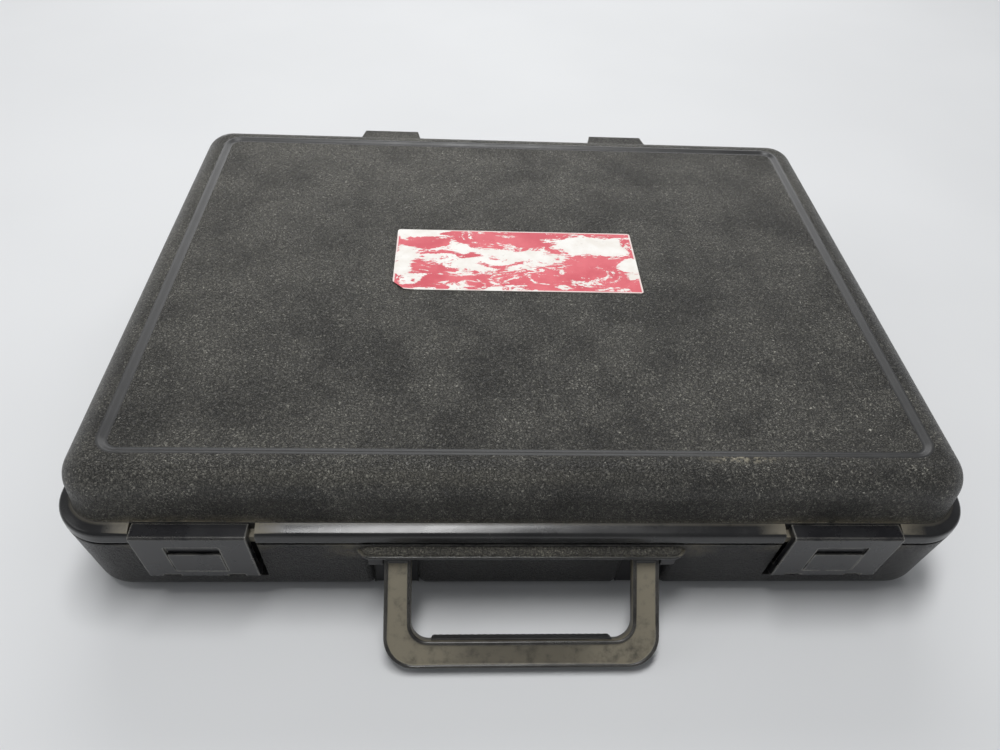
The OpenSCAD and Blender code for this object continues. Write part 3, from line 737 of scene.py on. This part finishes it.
def base_shell():
    rows = base_outer_rings()
    rows += [ring(BASE_IN + 0.02, BASE_TOP - 0.45), ring(BASE_IN + 0.15, BASE_TOP - 0.13), ring(BASE_IN + 0.45, BASE_TOP)]
    rows += [ring(7.1, BASE_TOP), ring(7.1, 53.6), ring(7.4, 53.9), ring(8.4, 53.9), ring(8.7, 53.6), ring(8.7, 46.9)]
    inner = tub(BASE_IN + WALL, WALL, 52, BASE_ROUND - WALL, 10)
    i0, z0 = inner[-2]
    rows += [ring(i0 + (inner[-1][0] - i0) * (46.9 - z0) / (52 - z0), 46.9)]
    rows += [ring(i, z) for i, z in reversed(inner[:-1])]
    obj = loft("base_shell_moulding", rows)
    outer = base_outer_rings() + [ring(BASE_IN, BASE_TOP)]
    blocks = [slab("block", (-79, 79), (-178, -163), (-0.5, BASE_TOP))]
    for side, _ in SIDES:
        x = sorted((side * (LATCH_X - 27.5 - 6), side * (LATCH_X + 27.5 + 4.2)))
        blocks.append(slab("block", x, (-178, BAY_Y + WALL), (-0.5, BASE_TOP)))
    for b in blocks:
        combine(obj, [combine(b, [loft("outer", outer)], "INTERSECT")], "UNION")
    cutters = [channel_cutter(side) for side, _ in SIDES]
    for side, _ in SIDES:
        cutters.append(bay_cutter(side))
        cutters.append(rod("cut", side * HINGE_X - 6.4, side * HINGE_X + 6.4, HINGE[1], HINGE[2], 4.4, soft=0))
    return combine(obj, cutters)


def flared(name, left, right, back, levels, flare_left, flare_right, inner_r=1.5):
    """Cutter that opens forwards, with its mouth rounded out to the leaning front wall."""
    rows = []
    for z in levels:
        y = front_y(z)
        row = []
        for x, f, s in ((left, flare_left, -1), (right, flare_right, 1)):
            a = [(x + s * (f - f * math.cos(math.radians(t))), y + f - f * math.sin(math.radians(t)), z)
                 for t in range(0, 79, 13)]
            tip = a[-1]
            side_row = [(x - s * inner_r, back, z), (x - s * inner_r * 0.3, back - inner_r * 0.3, z),
                        (x, back - inner_r, z)] + a + [(tip[0], -188, z)]
            row += side_row if s < 0 else side_row[::-1]
        rows.append(row)
    return loft(name, rows)


SHELF_LOW = 44.7


def channel_cutter(side):
    x = sorted((side * 52.95, side * 76))
    levels = [-1, 0, 1, 2.5, 4.5, 7, 10, 13, 18, 24, 30, 37, SHELF_LOW]
    f = (4.5, 3.5) if side > 0 else (3.5, 4.5)
    return flared("cut", x[0], x[1], -166, levels, f[0], f[1])


def bay_cutter(side):
    x = sorted((side * (LATCH_X - 27.5 - 3), side * (LATCH_X + 27.5 + 1.2)))
    levels = [17.5, 19.5, 24, 30, 37, 44, 50, PART_Z + 4]
    return flared("cut", x[0], x[1], BAY_Y, levels, 0.5, 0.5, inner_r=0.8)


base = base_shell()
finish_mesh(base)


def base_dust(x, y, z):
    if -178 < y < -160 and 43 < z < 51 and abs(x) < 90:
        return 0.6 * step(80, 84, abs(x))
    return 0.5 if y < -160 and LATCH_X - 32 < abs(x) < LATCH_X + 30 and z > 44 else 0.0


attribute(base, "dust", base_dust)
dress(base, "base", BASE_GRAIN, RIM_SATIN, SHELL_INSIDE, slot="base_plastic", stands_for=["base_shell"])
for face in base.data.polygons:
    c, n = face.center / MM, face.normal
    inset = inset_of(c.x, c.y)
    if c.z > BASE_TOP - 0.5 and (inset < 9.5):
        face.material_index = 1
    elif inset > 3.0 + (BASE_TOP - c.z) * math.tan(LEAN) and c.z > 2.5 and n.z > -0.2 and not (c.y < -160):
        face.material_index = 2
    elif c.y < -160 and inset > 8.8:
        face.material_index = 2

# ---------------------------------------------------------------- shelf over the handle


def shelf():
    """Shelf over the handle: a thin lip round its lower front, and a textured pad that slopes up from it."""
    x, front, back, low, high = 82.0, -180.0, -163.5, SHELF_LOW, 49.6
    rows = []
    for inset, up in ((0.9, 0.0), (0.3, 0.15), (0.05, 0.5), (0.0, 0.9), (0.1, 1.4), (0.35, 1.75), (0.7, 1.85),
                      (0.95, 1.7), (1.1, 1.4), (1.3, 1.4), (1.5, 2.0), (1.9, 2.8), (2.5, 3.5), (3.3, 4.1), (4.3, 4.5),
                      (5.6, high - low)):
        corners = [(x - inset, back), (inset - x, back), (inset - x, front + inset), (x - inset, front + inset)]
        r = max(7.8 - inset, 1.0)
        rows.append([(px, py, low + up) for px, py in fillet(corners, [0, 0, r, r], 8)])
    return loft("handle_shelf", rows)


shelf_piece = shelf()
finish_mesh(shelf_piece, angle=40)
attribute(shelf_piece, "dust", lambda x, y, z: 0.8 * step(77, 81, abs(x)) if z > SHELF_LOW + 1 else 0.0)
dress(shelf_piece, "base", RIM_SATIN, SHELF_GRAIN, slot="base_plastic")
for face in shelf_piece.data.polygons:
    c = face.center / MM
    if c.y > -178.6 and abs(c.x) < 80.6 and face.normal.z > 0.2 and c.z > SHELF_LOW + 1.5:
        face.material_index = 1

# ---------------------------------------------------------------- hinge pads, knuckles, ears and lugs


def hinge_pad(name, mid, low, high, bevel_low, bevel_high):
    """Pad that narrows towards its flat face, with bevelled outer edges."""
    root, face = HALF_D - 16, PAD_FACE
    side = fillet([(root, low), (face - bevel_low, low), (face, low + max(bevel_low, 0.01)),
                   (face, high - 2 * bevel_high - 0.01), (face - bevel_high, high), (root, high)],
                  [0, 1.2, 1.2, 1.2, 1.2, 0], 4)
    obj = prism(name, side, mid - 30, mid + 30, "YZ", soft=0)
    cutters = []
    for s in (-1, 1):
        a, b = (mid + s * 47.5 / 2, root - 2), (mid + s * 37.5 / 2, face)
        dx, dy = b[0] - a[0], b[1] - a[1]
        far = (b[0] + dx * 0.3, b[1] + dy * 0.3)
        pts = [a, far, (mid + s * 45, far[1]), (mid + s * 45, a[1])]
        cutters.append(prism("cut", pts if s > 0 else pts[::-1], low - 5, high + 5, "XY", soft=0))
    combine(obj, cutters)
    bm = bmesh.new()
    bm.from_mesh(obj.data)
    bmesh.ops.remove_doubles(bm, verts=bm.verts, dist=1e-6)
    edges = [e for e in bm.edges if len(e.link_faces) == 2 and e.calc_face_angle(0) > math.radians(35)
             and max(v.co.y for v in e.verts) / MM > root + 3]
    bmesh.ops.bevel(bm, geom=edges, offset=0.8 * MM, segments=3, profile=0.5, affect="EDGES", clamp_overlap=True)
    bm.to_mesh(obj.data)
    bm.free()
    return finish_mesh(obj)


for side, word in SIDES:
    mid = side * HINGE_X
    lid_pad = hinge_pad(f"lid_hinge_pad_{word}", mid, 57.4, 86, 0, 4)
    base_pad = hinge_pad(f"base_hinge_pad_{word}", mid, 6, 44.6, 4, 0)
    for pad, body, grain, slot in ((lid_pad, "lid", LID_GRAIN, "lid_plastic"), (base_pad, "base", BASE_GRAIN, "base_plastic")):
        attribute(pad, "dust", lambda x, y, z: 0.0)
        dress(pad, body, grain, slot=slot)
    lid_barrel = finish_mesh(rod(f"lid_knuckle_{word}", mid - 6, mid + 6, HINGE[1], HINGE[2], 4, soft=0.4))
    barrels = [rod("k", mid + s * 12.4 - 6, mid + s * 12.4 + 6, HINGE[1], HINGE[2], 4, soft=0.4) for s in (-1, 1)]
    base_barrels = finish_mesh(join(f"base_knuckles_{word}", barrels))
    dress(lid_barrel, "lid", LATCH_SATIN, slot="lid_plastic")
    dress(base_barrels, "base", LATCH_SATIN, slot="base_plastic")

    ear_low, ear_high = sorted((side * 69.1, side * 76.3))
    y, z = HANDLE[1], HANDLE[2]
    ear = fillet([(y - 4.2, z - 4.2), (-165.5, z - 4.2), (-165.5, SHELF_LOW + 0.4), (y - 4.2, SHELF_LOW + 0.4)],
                 [4.1, 0, 0, 0], 8)
    ear_piece = finish_mesh(prism(f"handle_ear_{word}", ear, ear_low, ear_high, "YZ", soft=0.4))
    dress(ear_piece, "base", SHELL_INSIDE, slot="base_plastic")
    lugs = []
    for s in (-1, 1):
        x = side * LATCH_X + s * 16
        ly, lz = LATCH[1], LATCH[2]
        lug = fillet([(ly - 3, lz - 3), (BAY_Y + 0.5, lz - 3), (BAY_Y + 0.5, lz + 3), (ly - 3, lz + 3)],
                     [2.95, 0, 0, 2.95], 8)
        lugs.append(prism("lug", lug, x - 4, x + 4, "YZ", soft=0.3))
    dress(finish_mesh(join(f"latch_lugs_{word}", lugs)), "base", LATCH_SATIN, slot="base_plastic")

# ---------------------------------------------------------------- latches and lock slides


def latch(side, word):
    mid, y, z = side * LATCH_X, LATCH[1], LATCH[2]
    front, back = -LATCH_R, LATCH_BACK - y
    upper = [(lean_y(back, z + 8), z + 8), (lean_y(back, HOOK_LOW), HOOK_LOW), (HOOK_Y, HOOK_LOW), (HOOK_Y, RIM_TOP),
             (lean_y(front, RIM_TOP) + 1.0, RIM_TOP), (lean_y(front, RIM_TOP - 1.0), RIM_TOP - 1.0),
             (lean_y(front, z + 8), z + 8)]
    upper = fillet(upper, [0, 0.5, 0.4, 0.6, 0.5, 0.5, 0], 4)
    lowest = math.degrees(math.asin(back / LATCH_R))
    round_end = [(y + LATCH_R * math.cos(a + LEAN), z + LATCH_R * math.sin(a + LEAN))
                 for a in np.radians(np.linspace(180, 450 - lowest, 26))]
    outline = upper + round_end
    obj = prism(f"latch_{word}_plate", outline, mid - 27.5, mid + 27.5, "YZ", soft=0.45, steps=3)
    window = [(mid - 13, 27.8), (mid + 13, 27.8), (mid + 13, 52.8), (mid - 13, 52.8)]
    cutters = [lean(prism("cut", fillet(window, 0.8, 4), LATCH_FACE - 2, LATCH_FACE + 1.3, "XZ", soft=0)),
               lean(slab("cut", (mid - 4.8, mid + 4.8), (LATCH_FACE, LATCH_BACK + 1), (34.2, 44.8)))]
    for s in (-1, 1):
        x = (mid + s * 16 - 4.4, mid + s * 16 + 4.4)
        cutters.append(slab("cut", x, (y, BAY_Y + 1), (18, z + 3.4)))
        cutters.append(slab("cut", x, (LATCH_FACE - 2, BAY_Y), (18, z)))
        cutters.append(rod("cut", x[0], x[1], y, z, 3.4, soft=0))
    combine(obj, cutters)
    finish_mesh(obj)
    return obj


def slide(side, word):
    mid, half = side * LATCH_X, (slide_hi[0] - slide_lo[0]) / 2
    low, high, face = 28.1, 45.9, LATCH_FACE - 0.2
    outline = fillet([(mid - half, low), (mid + half, low), (mid + half, high), (mid - half, high)], 0.7, 4)
    pad = prism("pad", outline, face, face + 1.4, "XZ", soft=0.35)
    stem = slab("stem", (mid - 4.5, mid + 4.5), (face + 1, LATCH_BACK + 0.1), (34.5, 39.5), soft=0.2)
    return finish_mesh(lean(join(f"lock_slide_{word}_pad", [pad, stem])))


for side, word in SIDES:
    dress(latch(side, word), f"latch_{word}", LATCH_SATIN, slot="latch_plastic", stands_for=[f"latch_{word}"])
    dress(slide(side, word), f"lock_{word}", SLIDE_SATIN, slot="lock_plastic", stands_for=[f"lock_slide_{word}"])

# ---------------------------------------------------------------- handle

REACH, BAR, THICK = 54.3, 13.3, 8.0
HANDLE_W = handle_hi[0] - handle_lo[0]
DROOP = math.asin(HANDLE[2] / math.hypot(REACH, THICK / 2)) - math.atan(THICK / 2 / REACH)
to_handle = Matrix.Translation(Vector(HANDLE) * MM) @ Matrix.Rotation(DROOP, 4, "X") @ Matrix.Rotation(math.pi, 4, "Z")


def rails():
    """Outer and inner edge of the handle, point by point from one end to the other."""
    w, ro, ri = HANDLE_W / 2, 15, 9
    outer, inner = [], []
    for y in (0, 1.5, 1.9, 2.3, 2.7, 3.1, 5, 8, 12, 17, 22, 28):
        outer.append((w, y if y <= 8 else 8 + (y - 8) * (REACH - ro - 8) / 28))
        inner.append((w - BAR, y if y <= 8 else 8 + (y - 8) * (REACH - BAR - ri - 8) / 26))
    for k in range(0, 17):
        a = math.radians(90 * k / 16)
        outer.append((w - ro + ro * math.cos(a), REACH - ro + ro * math.sin(a)))
        inner.append((w - BAR - ri + ri * math.cos(a), REACH - BAR - ri + ri * math.sin(a)))
    for x in (40, 30, 20, 10):
        outer.append((x * (w - ro) / 53.5, REACH))
        inner.append((x * (w - BAR - ri) / 46.2, REACH - BAR))
    mirror = lambda pts: [(-x, y) for x, y in reversed(pts)]
    return outer + [(0, REACH)] + mirror(outer), inner + [(0, REACH - BAR)] + mirror(inner)


def handle_section(width, groove):
    """Cross-section as distance from the outer edge and height, round the bar."""
    h, g = THICK / 2, groove
    e = 0.9
    top = [(e, h), (1.2, h), (1.6, h - 0.12 * g), (1.9, h - 0.45 * g), (2.1, h - 0.85 * g), (2.6, h - g)]
    left = [(0.0, -h + e), (0.0, h - e), (0.12, h - 0.55 * e), (0.45, h - 0.15 * e)] + top
    right = [(width - d, z) for d, z in reversed(left)]
    bottom = [(width - 0.4, -h + 0.4), (width - e, -h), (e, -h), (0.4, -h + 0.4)]
    return left + right + bottom


def handle_piece():
    outer, inner = rails()
    rows = []
    n = len(outer)
    for k, (o, i) in enumerate(zip(outer, inner)):
        o, i = Vector(o), Vector(i)
        width = (o - i).length
        along = min(o.y, REACH)
        groove = step(1.7, 3.0, along)
        rows.append([(*(o + (i - o) * (d / width)), z) for d, z in handle_section(width, groove)])
    obj = loft("handle_bar", rows)
    obj.data.transform(to_handle)
    finish_mesh(obj, angle=40)
    return obj


handle = handle_piece()
back_to = to_handle.inverted()


def handle_dust(x, y, z):
    p = (back_to @ (Vector((x, y, z)) * MM)) / MM
    d_out = min(HANDLE_W / 2 - abs(p.x), REACH - p.y)
    if abs(p.x) > HANDLE_W / 2 - 15 and p.y > REACH - 15:
        d_out = 15 - math.hypot(abs(p.x) - (HANDLE_W / 2 - 15), p.y - (REACH - 15))
    if THICK / 2 - 1.2 < p.z < THICK / 2 - 0.5 and d_out > 1.8:
        return 0.95 - 0.45 * step(46, 20, abs(p.x)) + 0.05 * (d_out < 3.5)
    return 0.0


attribute(handle, "dust", handle_dust)
dress(handle, "handle", HANDLE_SATIN, slot="handle_plastic", stands_for=["handle"])
for side, word in SIDES:
    x = sorted((side * 55.5, side * 68.2))
    boss = finish_mesh(rod(f"handle_boss_{word}", x[0], x[1], HANDLE[1], HANDLE[2], 4.3, soft=0.5))
    dress(boss, "handle", LATCH_SATIN, slot="handle_plastic")


def grip():
    """Soft L-shaped pad on the inner and lower side of the grip, with fine ribs underneath."""
    y0, h = REACH - BAR, THICK / 2
    outline = fillet([(y0 - 0.9, -h - 2.4), (y0 + 7, -h - 2.4), (y0 + 7, -h - 0.02), (y0 - 0.02, -h - 0.02),
                      (y0 - 0.02, h / 2), (y0 - 0.9, h / 2)], [0.8, 1.0, 0.3, 0.2, 0.3, 0.5], 5)
    half = 45.2
    steps = [-half + 0.0, -half + 0.25, -half + 0.8, -half + 1.6]
    k = -half + 3
    while k < half - 3:
        steps += [k, k + 0.5, k + 1.6, k + 2.1]
        k += 3.2
    steps += [half - 1.6, half - 0.8, half - 0.25, half]
    rows = []
    for s in steps:
        end = min(half - abs(s), 1.6)
        shrink = 1.6 - math.sqrt(max(0, 1.6 ** 2 - (1.6 - end) ** 2))
        phase = (s + half - 3) % 3.2
        rib = 0.35 if 0.4 < phase < 1.7 and abs(s) < half - 3 else 0.0
        row = []
        for y, z in outline:
            if z < -h - 0.5:
                z += rib * step(-h - 0.5, -h - 2.2, z)
            row.append((s, y + (y0 + 1 - y) * 0.35 * shrink, z + (0 - z) * 0.25 * shrink))
        rows.append(row)
    obj = loft("handle_grip_pad", rows)
    obj.data.transform(to_handle)
    return finish_mesh(obj, angle=45)


dress(grip(), "handle", GRIP_RUBBER, slot="handle_pad", stands_for=["handle_grip"])

# ---------------------------------------------------------------- label


def label_piece():
    nx, ny = 90, 40
    x0, x1, y0, y1 = label_lo[0], label_hi[0], label_lo[1], label_hi[1]
    top, bottom = label_hi[2], label_lo[2]
    grid, verts, faces = {}, [], []
    for layer in (0, 1):
        for i in range(nx + 1):
            for j in range(ny + 1):
                x, y = x0 + (x1 - x0) * i / nx, y0 + (y1 - y0) * j / ny
                cut = (x - x0) + (y - y0)
                if cut < 7:
                    push = (7 - cut) / 2
                    x, y = x + push, y + push
                for cx, cy in ((x1, y0), (x0, y1), (x1, y1)):
                    dx, dy = 1.6 - abs(x - cx), 1.6 - abs(y - cy)
                    if dx > 0 and dy > 0 and math.hypot(dx, dy) > 1.6:
                        f = 1.6 / math.hypot(dx, dy)
                        x = cx + math.copysign(1.6 - dx * f, x - cx if x != cx else -cx)
                        y = cy + math.copysign(1.6 - dy * f, y - cy if y != cy else LABEL_Y - cy)
                lift = 0.55 * step(16, 4, cut) + 0.04 * noise.noise(Vector((x / 11, y / 11, 3.0)))
                z = (top if layer else bottom) + max(0, lift) + (0.02 if layer else 0.0)
                if layer == 0:
                    z = max(z - 0.0, bottom)
                grid[layer, i, j] = len(verts)
                verts.append((x, y, z))
    for i in range(nx):
        for j in range(ny):
            faces.append((grid[1, i, j], grid[1, i + 1, j], grid[1, i + 1, j + 1], grid[1, i, j + 1]))
            faces.append((grid[0, i, j], grid[0, i, j + 1], grid[0, i + 1, j + 1], grid[0, i + 1, j]))
    for i in range(nx):
        faces.append((grid[0, i, 0], grid[0, i + 1, 0], grid[1, i + 1, 0], grid[1, i, 0]))
        faces.append((grid[0, i + 1, ny], grid[0, i, ny], grid[1, i, ny], grid[1, i + 1, ny]))
    for j in range(ny):
        faces.append((grid[0, 0, j + 1], grid[0, 0, j], grid[1, 0, j], grid[1, 0, j + 1]))
        faces.append((grid[0, nx, j], grid[0, nx, j + 1], grid[1, nx, j + 1], grid[1, nx, j]))
    return finish_mesh(mesh_object("label_sheet", verts, faces))


dress(label_piece(), "lid", LABEL_PAPER, slot="label_paper", stands_for=["label"])

# ---------------------------------------------------------------- foam


def soft_block(name, outer, holes, low, high, edge, voxel, wobble):
    """Foam block with die-cut pockets: a filled outline that is remeshed, eased and made slightly uneven."""
    curve = bpy.data.curves.new(name, "CURVE")
    curve.dimensions = "2D"
    curve.fill_mode = "BOTH"
    curve.extrude = (high - low) / 2 * MM
    for outline in [outer] + holes:
        spline = curve.splines.new("POLY")
        spline.points.add(len(outline) - 1)
        for point, (x, y) in zip(spline.points, outline):
            point.co = (x * MM, y * MM, 0, 1)
        spline.use_cyclic_u = True
    temp = bpy.data.objects.new(name, curve)
    scene.collection.objects.link(temp)
    graph = bpy.context.evaluated_depsgraph_get()
    mesh = bpy.data.meshes.new_from_object(temp.evaluated_get(graph))
    bpy.data.objects.remove(temp)
    mesh.transform(Matrix.Translation((0, 0, (high + low) / 2 * MM)))
    obj = bpy.data.objects.new(name, mesh)
    scene.collection.objects.link(obj)
    bm = bmesh.new()
    bm.from_mesh(mesh)
    bmesh.ops.remove_doubles(bm, verts=bm.verts, dist=1e-6)
    bmesh.ops.recalc_face_normals(bm, faces=bm.faces)
    bm.to_mesh(mesh)
    bm.free()
    modifier = obj.modifiers.new("remesh", "REMESH")
    modifier.mode = "VOXEL"
    modifier.voxel_size = voxel * MM
    smooth = obj.modifiers.new("ease", "SMOOTH")
    smooth.factor, smooth.iterations = 0.5, edge
    graph = bpy.context.evaluated_depsgraph_get()
    obj.data = bpy.data.meshes.new_from_object(obj.evaluated_get(graph))
    obj.modifiers.clear()
    for v in obj.data.vertices:
        p = v.co / MM
        v.co += v.normal * (-abs(noise.noise(p / 26.0)) * wobble * MM)
    for f in obj.data.polygons:
        f.use_smooth = True
    return obj


def base_foam():
    """The whole die-cut block: an instrument pocket with finger scallops, and two accessory pockets."""
    box = dict(zip(FOAM_STRIPS, foam_boxes))
    end = box["base_foam_back"][0][1]
    left, right = box["base_foam_left"][1][0], box["base_foam_web"][0][0]
    small_left, small_right = box["base_foam_web"][1][0], box["base_foam_right"][0][0]
    half_cross = box["base_foam_cross"][1][1]
    mid = (left + right) / 2
    back_scallop = [(mid + x, end + y) for x, y in arc(0, 0, 20, 0, 180, 14)]
    front_scallop = [(mid + x, -end + y) for x, y in arc(0, 0, 20, 180, 360, 14)]
    corner = 2.0
    big = fillet([(left, -end), *front_scallop, (right, -end), (right, end), *back_scallop, (left, end)],
                 [corner] + [0] * 15 + [corner] * 2 + [0] * 15 + [corner], 4)
    small = [fillet([(small_right, y0), (small_right, y1), (small_left, y1), (small_left, y0)], corner, 4)
             for y0, y1 in ((half_cross, end), (-end, -half_cross))]
    outer = fillet([(foam_hi[0], foam_lo[1]), (foam_hi[0], foam_hi[1]), (foam_lo[0], foam_hi[1]),
                    (foam_lo[0], foam_lo[1])], [10, 14, 14, 10], 8)
    voxel = 2.6
    return soft_block("base_foam_block", outer, [big] + small, foam_lo[2] + 0.3, foam_hi[2], 3, voxel, 0.5)


foam = base_foam()
dress(foam, "base", BASE_FOAM, slot="base_foam_grey", stands_for=FOAM_STRIPS)

floor_outline = fillet([(pad_hi[0], pad_lo[1]), (pad_hi[0], pad_hi[1]), (pad_lo[0], pad_hi[1]), (pad_lo[0], pad_lo[1])], 8, 8)
floor_foam = soft_block("floor_foam_pad", floor_outline, [], pad_lo[2], pad_hi[2], 1, 2.4, 0.25)
dress(floor_foam, "base", BASE_FOAM, slot="base_foam_grey", stands_for=["floor_pad"])


def convoluted_foam():
    """Egg-crate foam under the top of the lid: a grid of peaks and hollows that follows the lid's plan."""
    low, high = lid_foam_lo[2], lid_foam_hi[2] - 0.3
    hx, hy = lid_foam_hi[0] - 0.3, lid_foam_hi[1] - 0.3
    corner = 15.0
    nx, ny = ((190, 146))
    pitch_x, pitch_y = 2 * hx / 13, 2 * hy / 10
    verts, faces = [], []

    def plan(u, v):
        """Square grid from -1 to 1, eased into a rounded rectangle."""
        x, y = u * hx, v * hy
        dx, dy = abs(x) - (hx - corner), abs(y) - (hy - corner)
        if dx > 0 and dy > 0:
            m = max(dx, dy)
            f = m / math.hypot(dx, dy)
            x = math.copysign(hx - corner + dx * f, x)
            y = math.copysign(hy - corner + dy * f, y)
        return x, y

    for layer in (0, 1):
        for i in range(nx + 1):
            for j in range(ny + 1):
                u, v = 2 * i / nx - 1, 2 * j / ny - 1
                x, y = plan(u, v)
                rim = min(hx - abs(u * hx), hy - abs(v * hy))
                if layer:
                    inset = max(0.0, 10 - (high - 86.2 + 10))
                    f = 1 - 0.0
                    z = high
                    x, y = x * (1 - 9.0 / hx), y * (1 - 9.0 / hy)
                else:
                    wave = 0.5 + 0.5 * math.sin(math.pi * (x + hx) / pitch_x) * math.sin(math.pi * (y + hy) / pitch_y)
                    wave = wave ** 1.15
                    edge = step(0, 5, rim)
                    z = low + 11.5 * (1 - wave) * edge + 2.0 * (1 - edge) * (1 - step(0, 2.4, rim) * 0.6)
                    z += 0.25 * noise.noise(Vector((x / 9, y / 9, 1.0))) * edge
                    z = max(z, low)
                verts.append((x, y, z))
    n = (nx + 1) * (ny + 1)
    at = lambda layer, i, j: layer * n + i * (ny + 1) + j
    for i in range(nx):
        for j in range(ny):
            faces.append((at(0, i, j), at(0, i, j + 1), at(0, i + 1, j + 1), at(0, i + 1, j)))
            faces.append((at(1, i, j), at(1, i + 1, j), at(1, i + 1, j + 1), at(1, i, j + 1)))
    border = [(i, 0) for i in range(nx)] + [(nx, j) for j in range(ny)] + \
             [(i, ny) for i in range(nx, 0, -1)] + [(0, j) for j in range(ny, 0, -1)]
    spring = high - 11
    levels = [low + 4, spring] + [spring + 11 * math.sin(math.radians(a)) for a in (20, 40, 60, 78)]
    previous = [at(0, i, j) for i, j in border]
    for z in levels:
        inward = 0.0 if z <= spring else 11 - math.sqrt(max(0, 11 ** 2 - (z - spring) ** 2))
        inward = min(inward, 9.0)
        row = []
        for i, j in border:
            x, y = plan(2 * i / nx - 1, 2 * j / ny - 1)
            row.append(len(verts))
            verts.append((x * (1 - inward / hx), y * (1 - inward / hy), z))
        for k in range(len(border)):
            m = (k + 1) % len(border)
            faces.append((previous[k], previous[m], row[m], row[k]))
        previous = row
    last = [at(1, i, j) for i, j in border]
    for k in range(len(border)):
        m = (k + 1) % len(border)
        faces.append((previous[k], previous[m], last[m], last[k]))
    obj = mesh_object("lid_foam_convoluted", verts, faces)
    for f in obj.data.polygons:
        f.use_smooth = True
    return obj


lid_foam = convoluted_foam()
dress(lid_foam, "lid", LID_FOAM, slot="lid_foam_grey", stands_for=["lid_foam"])

# ---------------------------------------------------------------- carried-over CAD nodes

for side, word in SIDES:
    for name, material in ((f"hinge_pin_{word}", PIN_STEEL), (f"latch_pin_{word}", PIN_STEEL),
                           (f"handle_pin_{word}", PIN_STEEL), (f"lock_keeper_{word}", KEEPER_PLASTIC)):
        for slot in nodes[name].material_slots:
            slot.material = material

# ---------------------------------------------------------------- floor, light and camera


def floor_material():
    t = Tree("floor_pale")
    base = t.mix(t.ramp(t.noise(3.0, 3.0), 0.3, 0.7), (0.74, 0.75, 0.76), (0.77, 0.78, 0.79))
    return t.finish(base, 0.75, t.bump(t.noise(500.0, 3.0), 0.08, 0.1))


size = 12.0
floor = mesh_object("floor", [(-size, -size, -0.0002), (size, -size, -0.0002), (size, size, -0.0002),
                              (-size, size, -0.0002)], [(0, 1, 2, 3)], scale=1)
floor.data.materials.append(floor_material())


def softbox(name, at, aim, width, height, watts):
    light = bpy.data.lights.new(name, "AREA")
    light.shape = "RECTANGLE"
    light.size, light.size_y, light.energy = width, height, watts
    obj = bpy.data.objects.new(name, light)
    obj.location = at
    obj.rotation_euler = (Vector(aim) - Vector(at)).to_track_quat("-Z", "Y").to_euler()
    scene.collection.objects.link(obj)


softbox("ceiling", (-0.10, -0.06, 1.80), (-0.04, -0.10, 0.06), 1.05, 0.36, 19)
softbox("back_panel", (0.0, 1.90, 1.25), (0.0, 0.0, 0.06), 2.4, 1.5, 26)
softbox("left_soft", (-1.9, -0.3, 1.2), (0, 0, 0.05), 1.2, 1.0, 3)
world = bpy.data.worlds.new("studio")
world.use_nodes = True
world.node_tree.nodes["Background"].inputs["Color"].default_value = (0.95, 0.97, 1.0, 1)
world.node_tree.nodes["Background"].inputs["Strength"].default_value = 0.22
scene.world = world

YAW, PITCH, ROLL = 0.073374, 0.770409, 0.062892
forward = Vector((math.sin(YAW) * math.cos(PITCH), math.cos(YAW) * math.cos(PITCH), -math.sin(PITCH)))
across = Vector((math.cos(YAW), -math.sin(YAW), 0))
upward = across.cross(forward)
turned_x = math.cos(ROLL) * across + math.sin(ROLL) * upward
turned_y = -math.sin(ROLL) * across + math.cos(ROLL) * upward
camera_data = bpy.data.cameras.new("camera")
camera_data.sensor_width, camera_data.lens = 36, 28.8
camera_data.clip_start = 0.01
camera = bpy.data.objects.new("camera", camera_data)
camera.matrix_world = Matrix.Translation((-0.03340, -0.39773, 0.38381)) @ Matrix(
    (turned_x, turned_y, -forward)).transposed().to_4x4()
scene.collection.objects.link(camera)
scene.camera = camera
